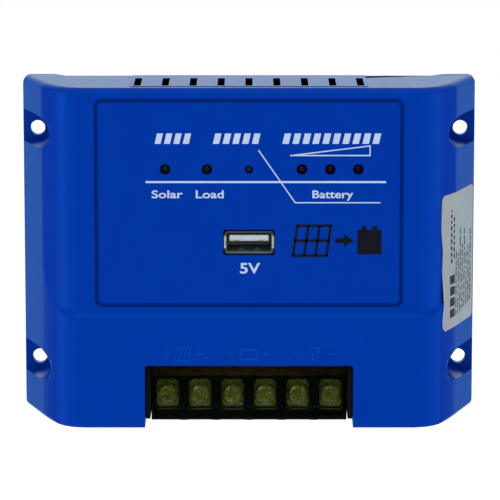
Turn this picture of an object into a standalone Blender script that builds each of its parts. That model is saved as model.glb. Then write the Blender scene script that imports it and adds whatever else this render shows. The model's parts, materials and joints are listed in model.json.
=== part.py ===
"""Solar charge controller: a wall-mounted plastic case with six screw terminals and a USB socket.

The case hangs on a wall. X runs to the right, Z up, and the front faces -Y. Lengths below are in
millimetres, and a place is written (x, out, z), where out is the distance from the wall. The
origin is the middle of the back face, which lies against the wall.
"""

import math

import bmesh
import bpy
from mathutils import Matrix, Vector

MM = 0.001

# Case
HALF_WIDTH = 66.3
HALF_HEIGHT = 49.3
DEPTH = 37.0
UPPER_DEPTH = 36.0  # the upper part of the front lies a little deeper than the terminal part
STEP_LOW, STEP_HIGH = -17.3, -15.3  # the ramp between the two parts
EAR_THICKNESS = 3.0
FLANK_LEAN = math.radians(19.6)
SHOULDER_RADIUS = 8.5
END_ROUND = 1.6
WALL = 2.2
FLOOR_X = 55.0  # the ear floors start here, and the rear plate lies between them
RIM_X, RIM_OUT = 56.3, 4.5  # the end walls stop short of the wall between the ears
INNER_FRONT = UPPER_DEPTH - WALL
INNER_Z = HALF_HEIGHT - WALL
GAP = 0.3

# Wall fixing
HOLE_X, HOLE_Z_TOP, HOLE_Z_LOW = 62.1, 33.8, -34.6
HOLE_RADIUS = 2.15
POCKET_RADIUS = 4.75
POCKET_WALL = 2.0
POCKET_RISE = 0.95  # the pockets sit a little higher than their holes

# Front: label, lights, button, socket
LABEL_HALF_WIDTH = 43.1
LABEL_LOW, LABEL_HIGH = -12.8, 45.3
GROOVE = 1.05
RECESS = 0.8
LABEL_THICKNESS = 0.5
LIGHT_Z = 26.0
LIGHT_X = {"led_solar": -23.9, "led_load": -12.0, "led_battery_1": 15.1, "led_battery_2": 23.2,
           "led_battery_3": 31.2}
LIGHT_HOLE_RADIUS = 1.5
BUTTON_HOLE_RADIUS = 1.15
USB_Z = 4.9
USB_OPENING = (7.4, 3.65)  # half width, half height
USB_SHELL = (6.65, 2.95)
USB_SHEET = 0.4
USB_MOUTH = 35.6
TONGUE_HALF_WIDTH = 5.55
TONGUE = 1.8

# Vents
VENT_PITCH, VENT_WIDTH, VENT_COUNT = 8.0, 2.0, 9
VENT_OUT = (12.1, 30.2)

# Terminals
NOTCH_HALF_WIDTH, NOTCH_TOP, NOTCH_OUT = 30.0, -30.9, 11.2
TERMINALS = 6
TERMINAL_PITCH = 9.5
SCREW_Z = -41.8
BLOCK_HALF_WIDTH = 28.4
BLOCK_Z = (-48.9, -36.9)
BLOCK_BASE, RIB_TOP, END_RIB_TOP = 20.0, 27.0, 24.7
RIB_WIDTH, END_RIB_INNER = 2.4, 27.3
CONTACT = 0.8
CLAMP_HALF = (3.25, 4.05)
CLAMP_OUT = (21.4, 22.2)
HEAD_OUT = (22.5, 24.9)
HEAD_RADIUS, SHANK_RADIUS = 2.9, 1.75
SHANK_END = 14.5
SCREW_TURNS = (20, 65, 110, 35, 80, 140)  # degrees, as the screws were left
COVER_FRONT, COVER_TOP, COVER_STEP_Z = 29.2, -35.6, -45.3
COVER_LIP_FRONT, COVER_LIP_Z = 27.6, -48.4
COVER_WALL, COVER_LIP_WALL = 0.8, 0.45
CHEEK_INSET = 0.2
COVER_SKIRT = 18.4

# Inside
PLATE_HALF = (54.5, 46.8)
PLATE, PLATE_RIM, PLATE_RIM_TOP = 2.0, 1.5, 7.0
CASE_SCREW = (49.0, 41.5)
CASE_BOSS_RADIUS = 3.2
STANDOFF = (41.0, 38.0)
STANDOFF_RADIUS = 3.25
BOARD = 1.6
MAIN_BOARD_OUT = 10.0
MAIN_BOARD_HALF_WIDTH, MAIN_BOARD_Z = 45.2, (-44.5, 42.5)
MAIN_TOP = MAIN_BOARD_OUT + BOARD + GAP
DISPLAY_BOARD_OUT = 20.0
DISPLAY_HALF_WIDTH, DISPLAY_Z = 40.5, (-3.0, 35.0)
DISPLAY_TOP = DISPLAY_BOARD_OUT + BOARD + GAP
DISPLAY_SCREW = (36.5, 14.0)
CAPACITOR_X, CAPACITOR_Z = (-32.0, -15.0), -17.0
INDUCTOR_X, INDUCTOR_Z = 12.0, -17.0
FUSE_X, FUSE_Z = 37.0, -16.0
MOSFET_X, MOSFET_Z = (-24.0, -8.0, 8.0, 24.0), 0.0
CLAMP_SCREW_X = 33.0

THROUGH = 60.0  # beyond every outer face, for cutters


# ---------------------------------------------------------------- meshes

def point(x, out, z):
    return Vector((x, -out, z)) * MM


def add_loft(bm, rings):
    """A closed solid through rings of equally many points, with flat ends."""
    loops = [[bm.verts.new(corner) for corner in ring] for ring in rings]
    count = len(loops[0])
    for first, second in zip(loops, loops[1:]):
        for i in range(count):
            j = (i + 1) % count
            bm.faces.new((first[i], first[j], second[j], second[i]))
    bm.faces.new(loops[0][::-1])
    bm.faces.new(loops[-1])


def add_box(bm, low, high):
    (x0, out0, z0), (x1, out1, z1) = low, high
    add_loft(bm, [[point(x, out, z) for x, z in ((x0, z0), (x1, z0), (x1, z1), (x0, z1))]
                  for out in (out0, out1)])


def add_prism(bm, outline, out_low, out_high):
    """An outline of (x, z) points, drawn out from the wall."""
    add_loft(bm, [[point(x, out, z) for x, z in outline] for out in (out_low, out_high)])


def add_bar(bm, outline, x_low, x_high):
    """An outline of (out, z) points, drawn along X."""
    add_loft(bm, [[point(x, out, z) for out, z in outline] for x in (x_low, x_high)])


def add_turned(bm, x, z, profile, segments=16):
    """A solid turned about the axis through (x, z) that points out. profile lists (radius, out)."""
    turns = [2 * math.pi * i / segments for i in range(segments)]
    add_loft(bm, [[point(x + radius * math.cos(t), out, z + radius * math.sin(t)) for t in turns]
                  for radius, out in profile])


def add_cylinder(bm, x, z, radius, out_low, out_high, segments=16):
    add_turned(bm, x, z, [(radius, out_low), (radius, out_high)], segments)


def rounded_rectangle(x_half, z_low, z_high, radius, steps=3):
    """(x, z) points of a rectangle with round corners, about x = 0."""
    outline = []
    for corner, (x_side, z_edge, z_side) in enumerate(
            ((1, z_high, -1), (-1, z_high, -1), (-1, z_low, 1), (1, z_low, 1))):
        for i in range(steps + 1):
            t = math.pi / 2 * (corner + i / steps)
            outline.append((x_side * (x_half - radius) + radius * math.cos(t),
                            z_edge + z_side * radius + radius * math.sin(t)))
    return outline


# ---------------------------------------------------------------- objects

def material(name, colour, roughness, metallic=0.0):
    found = bpy.data.materials.get(name)
    if found:
        return found
    made = bpy.data.materials.new(name)
    made.use_nodes = True
    made.diffuse_color = (*colour, 1.0)
    shader = made.node_tree.nodes["Principled BSDF"]
    shader.inputs["Base Color"].default_value = (*colour, 1.0)
    shader.inputs["Roughness"].default_value = roughness
    shader.inputs["Metallic"].default_value = metallic
    return made


FINISH = {
    "blue_plastic": ((0.0, 0.035, 0.36), 0.38),
    "label_film": ((0.0, 0.033, 0.34), 0.3),
    "silver_film": ((0.62, 0.63, 0.64), 0.35, 0.4),
    "black_plastic": ((0.015, 0.015, 0.015), 0.45),
    "smoky_plastic": ((0.05, 0.055, 0.01), 0.12),
    "white_plastic": ((0.75, 0.75, 0.72), 0.4),
    "grey_plastic": ((0.2, 0.2, 0.21), 0.5),
    "green_lens": ((0.02, 0.16, 0.03), 0.15),
    "red_lens": ((0.2, 0.01, 0.01), 0.15),
    "amber_lens": ((0.3, 0.08, 0.01), 0.15),
    "board": ((0.01, 0.11, 0.04), 0.4),
    "zinc": ((0.6, 0.6, 0.58), 0.35, 1.0),
    "steel": ((0.55, 0.56, 0.57), 0.3, 1.0),
    "brass": ((0.6, 0.42, 0.14), 0.35, 1.0),
    "aluminium": ((0.55, 0.56, 0.58), 0.45, 1.0),
    "copper": ((0.7, 0.3, 0.1), 0.3, 1.0),
    "ferrite": ((0.5, 0.5, 0.1), 0.6),
    "sleeve": ((0.03, 0.03, 0.08), 0.3),
    "pad": ((0.35, 0.4, 0.5), 0.8),
    "fuse_plastic": ((0.65, 0.5, 0.05), 0.3),
}


def make(name, finish, build, axis=(0.0, 0.0, 0.0)):
    """An object whose origin is at axis. build fills its mesh, in the case's own frame."""
    bm = bmesh.new()
    build(bm)
    bmesh.ops.recalc_face_normals(bm, faces=bm.faces)
    origin = point(*axis)
    bmesh.ops.transform(bm, matrix=Matrix.Translation(-origin), verts=bm.verts)
    mesh = bpy.data.meshes.new(name)
    bm.to_mesh(mesh)
    bm.free()
    mesh.shade_smooth()
    mesh.set_sharp_from_angle(angle=math.radians(35))
    obj = bpy.data.objects.new(name, mesh)
    obj.location = origin
    bpy.context.scene.collection.objects.link(obj)
    if finish:
        mesh.materials.append(material(finish, *FINISH[finish]))
    return obj


def tool(obj, name, build, operation="DIFFERENCE"):
    """A hidden helper solid that cuts obj, or is joined to it."""
    helper = make(name, None, build)
    helper.hide_render = True
    helper.display_type = "WIRE"
    modifier = obj.modifiers.new(name, "BOOLEAN")
    modifier.operation = operation
    modifier.object = helper
    return helper


def cut(obj, name, build):
    return tool(obj, name, build, "DIFFERENCE")


def join(obj, name, build):
    return tool(obj, name, build, "UNION")


# ---------------------------------------------------------------- case

def case_half(top, inset, arc_steps=6):
    """(x, out) points up the right side of the case: foot, flank and round shoulder."""
    lean_x, lean_out = math.cos(FLANK_LEAN), math.sin(FLANK_LEAN)
    reach = HALF_WIDTH * lean_x + EAR_THICKNESS * lean_out
    centre_out = top - SHOULDER_RADIUS
    centre_x = (reach - SHOULDER_RADIUS - centre_out * lean_out) / lean_x
    radius = SHOULDER_RADIUS - inset
    points = []
    for i in range(arc_steps + 1):
        t = FLANK_LEAN + (math.pi / 2 - FLANK_LEAN) * i / arc_steps
        points.append((centre_x + radius * math.cos(t), centre_out + radius * math.sin(t)))
    return points


def flank_x(out, inset=0.0):
    """Where the flank, moved in by inset, is this far out from the wall."""
    lean_x, lean_out = math.cos(FLANK_LEAN), math.sin(FLANK_LEAN)
    return (HALF_WIDTH * lean_x + (EAR_THICKNESS - out) * lean_out - inset) / lean_x


def both_sides(half):
    return half + [(-x, out) for x, out in reversed(half)]


def outer_section(top, inset):
    foot_x = HALF_WIDTH - inset
    lean = math.tan(FLANK_LEAN)
    foot_out = EAR_THICKNESS + (flank_x(EAR_THICKNESS, inset) - foot_x) / lean
    return both_sides([(foot_x, 0.0), (foot_x, foot_out)] + case_half(top, inset))


def add_case_block(bm):
    """The outer shape: one section all the way up, with a step in its depth and rounded ends."""
    levels = []
    round_steps = 3
    for i in range(round_steps + 1):
        t = math.pi / 2 * i / round_steps
        inset = END_ROUND * (1 - math.sin(t))
        levels.append((-HALF_HEIGHT + END_ROUND * (1 - math.cos(t)), DEPTH, inset))
    levels += [(STEP_LOW, DEPTH, 0.0), (STEP_HIGH, UPPER_DEPTH, 0.0)]
    for i in range(round_steps + 1):
        t = math.pi / 2 * (1 - i / round_steps)
        inset = END_ROUND * (1 - math.sin(t))
        levels.append((HALF_HEIGHT - END_ROUND * (1 - math.cos(t)), UPPER_DEPTH, inset))
    add_loft(bm, [[point(x, out, z) for x, out in outer_section(top, inset)]
                  for z, top, inset in levels])


def add_cavity(bm):
    half = [(FLOOR_X, -5.0), (FLOOR_X, EAR_THICKNESS), (flank_x(EAR_THICKNESS, WALL), EAR_THICKNESS)]
    section = both_sides(half + case_half(UPPER_DEPTH, WALL))
    add_loft(bm, [[point(x, out, z) for x, out in section] for z in (-INNER_Z, INNER_Z)])


def corners(x, z):
    return [(sx * x, sz * z) for sx in (-1, 1) for sz in (-1, 1)]


def pocket_outline(side, z, radius, steps=8):
    """A slot round a wall screw, open to the outside of the case."""
    x = side * HOLE_X
    outline = [(side * THROUGH * 1.5, z - radius)]
    for i in range(steps + 1):
        t = math.pi / 2 + math.pi * i / steps
        outline.append((x + side * radius * math.cos(t), z - radius * math.sin(t)))
    return outline + [(side * THROUGH * 1.5, z + radius)]


def add_pockets(bm, radius, out_low):
    for side in (-1, 1):
        for z in (HOLE_Z_LOW, HOLE_Z_TOP):
            add_prism(bm, pocket_outline(side, z + POCKET_RISE, radius), out_low, THROUGH)


def add_bosses(bm):
    for x, z in corners(*CASE_SCREW):
        add_cylinder(bm, x, z, CASE_BOSS_RADIUS, PLATE + GAP, THROUGH)
    for side in (-1, 1):
        add_cylinder(bm, side * DISPLAY_SCREW[0], DISPLAY_SCREW[1], 3.0, DISPLAY_TOP, THROUGH)


def add_round_holes(bm):
    for side in (-1, 1):
        for z in (HOLE_Z_LOW, HOLE_Z_TOP):
            add_cylinder(bm, side * HOLE_X, z, HOLE_RADIUS, -5.0, EAR_THICKNESS + 1, 24)
        add_cylinder(bm, side * DISPLAY_SCREW[0], DISPLAY_SCREW[1], 1.5, DISPLAY_TOP - 1, 29.0, 12)
    for x, z in corners(*CASE_SCREW):
        add_cylinder(bm, x, z, 1.7, PLATE, 12.0, 12)
    for x in LIGHT_X.values():
        add_cylinder(bm, x, LIGHT_Z, LIGHT_HOLE_RADIUS, INNER_FRONT - 1, THROUGH)
    add_cylinder(bm, 0.0, LIGHT_Z, BUTTON_HOLE_RADIUS, INNER_FRONT - 1, THROUGH, 12)


def add_vents(bm):
    for i in range(VENT_COUNT):
        x = VENT_PITCH * (i - (VENT_COUNT - 1) / 2)
        add_box(bm, (x - VENT_WIDTH / 2, VENT_OUT[0], INNER_Z - 1),
                (x + VENT_WIDTH / 2, VENT_OUT[1], THROUGH))


def add_rims(bm):
    for z_low, z_high in ((-THROUGH, -INNER_Z + 0.2), (INNER_Z - 0.2, THROUGH)):
        add_box(bm, (-RIM_X, -5.0, z_low), (RIM_X, RIM_OUT, z_high))


def label_outline(margin, radius):
    return rounded_rectangle(LABEL_HALF_WIDTH + margin, LABEL_LOW - margin, LABEL_HIGH + margin, radius)


def usb_outline(half, grow=0.0, radius=0.5):
    x_half, z_half = half[0] + grow, half[1] + grow
    return rounded_rectangle(x_half, USB_Z - z_half, USB_Z + z_half, radius)


def make_front_cover():
    cover = make("front_cover", "blue_plastic", add_case_block)
    cavity = cut(cover, "cavity_cutter", add_cavity)
    cut(cavity, "pocket_wall_cutter", lambda bm: add_pockets(bm, POCKET_RADIUS + POCKET_WALL, -10.0))
    cut(cavity, "boss_cutter", add_bosses)
    cut(cover, "pocket_cutter", lambda bm: add_pockets(bm, POCKET_RADIUS, EAR_THICKNESS))
    cut(cover, "round_hole_cutter", add_round_holes)
    cut(cover, "vent_cutter", add_vents)
    cut(cover, "rim_cutter", add_rims)
    cut(cover, "label_recess_cutter",
        lambda bm: add_prism(bm, label_outline(GROOVE, 2.2), UPPER_DEPTH - RECESS, THROUGH))
    cut(cover, "usb_opening_cutter",
        lambda bm: add_prism(bm, usb_outline(USB_OPENING), INNER_FRONT - 1, THROUGH))
    cut(cover, "notch_cutter",
        lambda bm: add_box(bm, (-NOTCH_HALF_WIDTH, NOTCH_OUT, -THROUGH),
                           (NOTCH_HALF_WIDTH, THROUGH, NOTCH_TOP)))


def make_labels():
    floor = UPPER_DEPTH - RECESS + 0.15
    label = make("front_label", "label_film",
                 lambda bm: add_prism(bm, label_outline(0.0, 1.4), floor, floor + LABEL_THICKNESS))

    def add_windows(bm):
        for x in LIGHT_X.values():
            add_cylinder(bm, x, LIGHT_Z, LIGHT_HOLE_RADIUS, 0.0, THROUGH)
        add_cylinder(bm, 0.0, LIGHT_Z, BUTTON_HOLE_RADIUS, 0.0, THROUGH, 12)
        add_prism(bm, usb_outline(USB_OPENING), 0.0, THROUGH)

    cut(label, "window_cutter", add_windows)

    def add_rating_label(bm):
        low_out, high_out = 4.4, 31.2
        inner, outer = -0.12, -0.37
        section = [(flank_x(low_out, inner), low_out), (flank_x(low_out, outer), low_out),
                   (flank_x(high_out, outer), high_out), (flank_x(high_out, inner), high_out)]
        add_loft(bm, [[point(x, out, z) for x, out in section] for z in (-22.0, 17.5)])

    make("rating_label", "silver_film", add_rating_label)


# ---------------------------------------------------------------- rear plate and its fixings

def make_rear_plate():
    half_x, half_z = PLATE_HALF
    plate = make("rear_plate", "aluminium",
                 lambda bm: add_box(bm, (-half_x, 0.0, -half_z), (half_x, PLATE_RIM_TOP, half_z)))
    inner_x, inner_z = half_x - PLATE_RIM, half_z - PLATE_RIM

    cut(plate, "tray_cutter",
        lambda bm: add_box(bm, (-inner_x, PLATE, -inner_z), (inner_x, THROUGH, inner_z)))

    def add_standoffs(bm):
        for x, z in corners(*STANDOFF):
            add_cylinder(bm, x, z, STANDOFF_RADIUS, 1.0, MAIN_BOARD_OUT - GAP, 12)

    def add_plate_holes(bm):
        for x, z in corners(*STANDOFF):
            add_cylinder(bm, x, z, 1.6, 4.0, THROUGH, 12)
        for x, z in corners(*CASE_SCREW):
            add_turned(bm, x, z, [(3.9, -0.5), (1.75, 1.65), (1.75, 5.0)], 16)
        for side in (-1, 1):
            add_cylinder(bm, side * CLAMP_SCREW_X, MOSFET_Z, 1.6, 0.8, 5.0, 12)

    join(plate, "standoff_tool", add_standoffs)
    cut(plate, "plate_hole_cutter", add_plate_holes)


def add_screw(bm, x, z, head_out, shank_end, head_radius, shank_radius, head_height, segments=12):
    """A flat-headed screw. Its shank runs from the head to shank_end, whichever way that lies."""
    way = 1 if shank_end > head_out else -1
    add_turned(bm, x, z, [(head_radius * 0.8, head_out - way * head_height),
                          (head_radius, head_out - way * head_height * 0.7), (head_radius, head_out),
                          (shank_radius, head_out), (shank_radius, shank_end)], segments)


def make_fixings():
    for i, (x, z) in enumerate(corners(*CASE_SCREW), 1):
        make(f"case_screw_{i}", "zinc", lambda bm: add_turned(
            bm, x, z, [(3.0, 0.1), (1.4, 1.7), (1.4, 10.5)], 12), axis=(x, 0.0, z))
    board_top = MAIN_BOARD_OUT + BOARD
    for i, (x, z) in enumerate(corners(*STANDOFF), 1):
        make(f"pcb_screw_{i}", "zinc", lambda bm: add_screw(
            bm, x, z, board_top + GAP, 5.0, 2.7, 1.3, 1.9), axis=(x, board_top, z))
    for i, side in enumerate((-1, 1), 1):
        x, z = side * DISPLAY_SCREW[0], DISPLAY_SCREW[1]
        make(f"display_screw_{i}", "zinc", lambda bm: add_screw(
            bm, x, z, DISPLAY_BOARD_OUT - GAP, 28.0, 2.3, 1.15, 1.7), axis=(x, DISPLAY_BOARD_OUT, z))
        x, z = side * CLAMP_SCREW_X, MOSFET_Z
        make(f"clamp_screw_{i}", "zinc", lambda bm: add_screw(
            bm, x, z, 8.7, 1.3, 2.5, 1.3, 1.0), axis=(x, 8.7, z))


# ---------------------------------------------------------------- terminals

def terminal_x(i):
    return TERMINAL_PITCH * (i - (TERMINALS - 1) / 2)


def make_terminal_block():
    """A comb in section: a base with barriers between the terminals, drawn up along Z."""
    outline = [(-BLOCK_HALF_WIDTH, MAIN_TOP), (-BLOCK_HALF_WIDTH, END_RIB_TOP),
               (-END_RIB_INNER, END_RIB_TOP), (-END_RIB_INNER, BLOCK_BASE)]
    for i in range(1, TERMINALS):
        x = (terminal_x(i - 1) + terminal_x(i)) / 2
        outline += [(x - RIB_WIDTH / 2, BLOCK_BASE), (x - RIB_WIDTH / 2, RIB_TOP),
                    (x + RIB_WIDTH / 2, RIB_TOP), (x + RIB_WIDTH / 2, BLOCK_BASE)]
    outline += [(END_RIB_INNER, BLOCK_BASE), (END_RIB_INNER, END_RIB_TOP),
                (BLOCK_HALF_WIDTH, END_RIB_TOP), (BLOCK_HALF_WIDTH, MAIN_TOP)]
    block = make("terminal_block", "black_plastic", lambda bm: add_loft(
        bm, [[point(x, out, z) for x, out in outline] for z in BLOCK_Z]))

    def add_bores(bm):
        for i in range(TERMINALS):
            x = terminal_x(i)
            add_cylinder(bm, x, SCREW_Z, SHANK_RADIUS + 0.4, SHANK_END - 1, BLOCK_BASE + 1)
            add_box(bm, (x - 1.6, 0.0, -39.1), (x + 1.6, BLOCK_BASE + 1, -37.7))

    cut(block, "block_bore_cutter", add_bores)


def add_terminal_cover_front(bm):
    """The smoky lid in section: skirt behind, front face, step, and a thinner lip."""
    w = COVER_WALL
    lip_back = COVER_LIP_FRONT - COVER_LIP_WALL
    outline = [(COVER_SKIRT, COVER_TOP), (COVER_FRONT, COVER_TOP), (COVER_FRONT, COVER_STEP_Z),
               (COVER_LIP_FRONT, COVER_STEP_Z), (COVER_LIP_FRONT, COVER_LIP_Z),
               (lip_back, COVER_LIP_Z), (lip_back, COVER_STEP_Z + w), (COVER_FRONT - w, COVER_STEP_Z + w),
               (COVER_FRONT - w, COVER_TOP - w), (COVER_SKIRT, COVER_TOP - w)]
    add_bar(bm, outline, -BLOCK_HALF_WIDTH, BLOCK_HALF_WIDTH)


def make_terminal_cover():
    lid = make("terminal_cover", "smoky_plastic", add_terminal_cover_front,
               axis=(0.0, COVER_FRONT, (COVER_TOP + COVER_STEP_Z) / 2))

    def add_cheeks(bm):
        for side in (-1, 1):
            inner, outer = sorted((side * (END_RIB_INNER + 0.1), side * BLOCK_HALF_WIDTH))
            add_box(bm, (inner, END_RIB_TOP + GAP, COVER_STEP_Z),
                    (outer, COVER_FRONT - CHEEK_INSET, COVER_TOP - CHEEK_INSET))

    join(lid, "cheek_tool", add_cheeks)


def add_clamp_plate(bm, x):
    half_x, half_z = CLAMP_HALF
    outline = [(x + px, z)
               for px, z in rounded_rectangle(half_x, SCREW_Z - half_z, SCREW_Z + half_z, 1.6, 2)]
    add_prism(bm, outline, *CLAMP_OUT)


def make_terminals():
    for i in range(TERMINALS):
        x, number = terminal_x(i), i + 1
        contact = make(f"terminal_contact_{number}", "brass", lambda bm: add_box(
            bm, (x - 3.35, BLOCK_BASE + GAP, -47.9), (x + 3.35, BLOCK_BASE + GAP + CONTACT, -37.5)))
        join(contact, f"contact_leg_tool_{number}", lambda bm: add_box(
            bm, (x - 1.25, MAIN_TOP, -38.8), (x + 1.25, BLOCK_BASE + GAP + CONTACT / 2, -38.0)))
        cut(contact, f"contact_bore_cutter_{number}", lambda bm: add_cylinder(
            bm, x, SCREW_Z, SHANK_RADIUS + 0.4, BLOCK_BASE - 1, THROUGH, 12))

        clamp = make(f"clamp_plate_{number}", "zinc", lambda bm: add_clamp_plate(bm, x),
                     axis=(x, CLAMP_OUT[0], SCREW_Z))
        cut(clamp, f"clamp_bore_cutter_{number}", lambda bm: add_cylinder(
            bm, x, SCREW_Z, SHANK_RADIUS + 0.3, 0.0, THROUGH, 12))

        low, high = HEAD_OUT
        turn = SCREW_TURNS[i]
        screw = make(f"terminal_screw_{number}", "zinc", lambda bm: add_turned(
            bm, x, SCREW_Z, [(SHANK_RADIUS, SHANK_END), (SHANK_RADIUS, low), (HEAD_RADIUS, low),
                             (HEAD_RADIUS, high - 0.5), (HEAD_RADIUS - 0.7, high)], 20),
                     axis=(x, low, SCREW_Z))

        def add_cross(bm):
            """A cross recess, turned as the screw was left."""
            across, half, depth = 1.9, 0.45, 1.3
            for step in (0, 1):
                t = math.radians(turn + 90 * step)
                along, side = (math.cos(t), math.sin(t)), (-math.sin(t), math.cos(t))
                # The two bars cross, so the second one is a touch deeper than the first.
                outline = [(x + along[0] * a * across + side[0] * b * half,
                            SCREW_Z + along[1] * a * across + side[1] * b * half)
                           for a, b in ((-1, -1), (1, -1), (1, 1), (-1, 1))]
                add_prism(bm, outline, high - depth - 0.1 * step, THROUGH)

        cross = cut(screw, f"cross_cutter_{number}", add_cross)
        screw.modifiers[cross.name].use_self = True


# ---------------------------------------------------------------- boards and what they carry

def make_boards():
    half = MAIN_BOARD_HALF_WIDTH
    low, high = MAIN_BOARD_Z
    board = make("main_pcb", "board", lambda bm: add_box(
        bm, (-half, MAIN_BOARD_OUT, low), (half, MAIN_BOARD_OUT + BOARD, high)))

    def add_board_holes(bm):
        for x, z in corners(*STANDOFF):
            add_cylinder(bm, x, z, 1.65, 0.0, THROUGH, 12)
        for x in MOSFET_X:
            add_box(bm, (x - 4.0, 0.0, 12.4), (x + 4.0, THROUGH, 14.0))

    cut(board, "board_hole_cutter", add_board_holes)

    half = DISPLAY_HALF_WIDTH
    low, high = DISPLAY_Z
    display = make("display_pcb", "board", lambda bm: add_box(
        bm, (-half, DISPLAY_BOARD_OUT, low), (half, DISPLAY_BOARD_OUT + BOARD, high)))

    def add_display_holes(bm):
        for side in (-1, 1):
            add_cylinder(bm, side * DISPLAY_SCREW[0], DISPLAY_SCREW[1], 1.5, 0.0, THROUGH, 12)

    cut(display, "display_hole_cutter", add_display_holes)
    make("board_header", "black_plastic", lambda bm: add_box(
        bm, (-28.0, MAIN_TOP, 24.0), (-14.0, DISPLAY_BOARD_OUT - GAP, 29.0)))
    make("microcontroller", "black_plastic", lambda bm: add_box(
        bm, (-3.5, MAIN_TOP, 22.0), (3.5, MAIN_TOP + 1.4, 29.0)))


def add_coil(bm, x, z, out, core_radii, core_half, turns=11, wire=0.55):
    """Wire wound round a ring: a tube that follows the ring's section as it goes round."""
    inner, outer = core_radii
    clear = wire + GAP
    corners_of_turn = ((outer + clear, -1), (outer + clear, 1), (inner - clear, 1), (inner - clear, -1))
    path = []
    for turn in range(turns):
        for i, (radius, end) in enumerate(corners_of_turn):
            t = math.radians(330) * (turn + i / 4) / turns
            centre = point(x, out, z)
            spoke = Vector((math.cos(t), 0, math.sin(t))) * radius * MM
            path.append(centre + spoke + Vector((0, -end * (core_half + clear) * MM, 0)))
    rings = []
    for i, here in enumerate(path):
        before, after = path[max(i - 1, 0)], path[min(i + 1, len(path) - 1)]
        way = (after - before).normalized()
        spoke = here - point(x, out, z)
        side = way.cross(spoke).normalized()
        up = side.cross(way)
        rings.append([here + (side * math.cos(a) + up * math.sin(a)) * wire * MM
                      for a in (math.pi / 3 * k for k in range(6))])
    add_loft(bm, rings)


def add_ring(bm, x, z, inner, outer, out_low, out_high, segments=20):
    """A ring of square section: its loops run round the section, so the last joins the first."""
    loops = []
    for radius, out in ((inner, out_low), (outer, out_low), (outer, out_high), (inner, out_high)):
        turns = [2 * math.pi * i / segments for i in range(segments)]
        loops.append([bm.verts.new(point(x + radius * math.cos(t), out, z + radius * math.sin(t)))
                      for t in turns])
    for k, loop in enumerate(loops):
        following = loops[(k + 1) % len(loops)]
        for i in range(segments):
            j = (i + 1) % segments
            bm.faces.new((loop[i], loop[j], following[j], following[i]))


def make_power_parts():
    for i, x in enumerate(CAPACITOR_X, 1):
        make(f"capacitor_{i}", "sleeve", lambda bm: add_turned(
            bm, x, CAPACITOR_Z, [(5.9, MAIN_TOP), (6.25, MAIN_TOP + 0.4), (6.25, MAIN_TOP + 2.2),
                                 (5.8, MAIN_TOP + 2.7), (6.25, MAIN_TOP + 3.2), (6.25, MAIN_TOP + 19.5),
                                 (5.6, MAIN_TOP + 20.0)], 20))
    core_out = MAIN_TOP + 4.6
    make("inductor_core", "ferrite", lambda bm: add_ring(
        bm, INDUCTOR_X, INDUCTOR_Z, 4.2, 8.0, core_out - 3.2, core_out + 3.2))
    make("inductor_coil", "copper", lambda bm: add_coil(
        bm, INDUCTOR_X, INDUCTOR_Z, core_out, (4.2, 8.0), 3.2))
    fuse_top = MAIN_TOP + 16.0
    make("fuse", "fuse_plastic", lambda bm: add_bar(
        bm, [(MAIN_TOP, FUSE_Z - 7.5), (MAIN_TOP + 7, FUSE_Z - 7.5), (MAIN_TOP + 8, FUSE_Z - 9.5),
             (fuse_top, FUSE_Z - 9.5), (fuse_top, FUSE_Z + 9.5), (MAIN_TOP + 8, FUSE_Z + 9.5),
             (MAIN_TOP + 7, FUSE_Z + 7.5), (MAIN_TOP, FUSE_Z + 7.5)], FUSE_X - 2.6, FUSE_X + 2.6))

    make("thermal_pad", "pad", lambda bm: add_box(
        bm, (-30.5, PLATE + GAP, MOSFET_Z - 9.5), (30.5, PLATE + GAP + 0.5, MOSFET_Z + 9.0)))
    low = PLATE + 2 * GAP + 0.5
    for i, x in enumerate(MOSFET_X, 1):
        transistor = make(f"mosfet_{i}", "black_plastic", lambda bm: add_bar(
            bm, [(low, MOSFET_Z - 9.0), (low + 1.3, MOSFET_Z - 9.0), (low + 1.3, MOSFET_Z - 2.5),
                 (low + 4.0, MOSFET_Z - 2.3), (low + 4.0, MOSFET_Z + 7.0), (low, MOSFET_Z + 7.0)],
            x - 5.0, x + 5.0))

        def add_pins(bm):
            foot, rise = low + 1.8, MAIN_BOARD_OUT + BOARD
            for pin in (-2.54, 0.0, 2.54):
                outline = [(foot, MOSFET_Z + 6.0), (foot, MOSFET_Z + 13.5), (rise, MOSFET_Z + 13.5),
                           (rise, MOSFET_Z + 12.9), (foot + 0.6, MOSFET_Z + 12.9),
                           (foot + 0.6, MOSFET_Z + 6.0)]
                add_bar(bm, outline, x + pin - 0.4, x + pin + 0.4)

        join(transistor, f"pin_tool_{i}", add_pins)

    bar = make("mosfet_clamp", "steel", lambda bm: add_box(
        bm, (-36.0, 7.4, MOSFET_Z - 2.2), (36.0, 8.4, MOSFET_Z + 4.5)))

    def add_bar_holes(bm):
        for side in (-1, 1):
            add_cylinder(bm, side * CLAMP_SCREW_X, MOSFET_Z, 1.6, 0.0, THROUGH, 12)

    cut(bar, "bar_hole_cutter", add_bar_holes)


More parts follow.
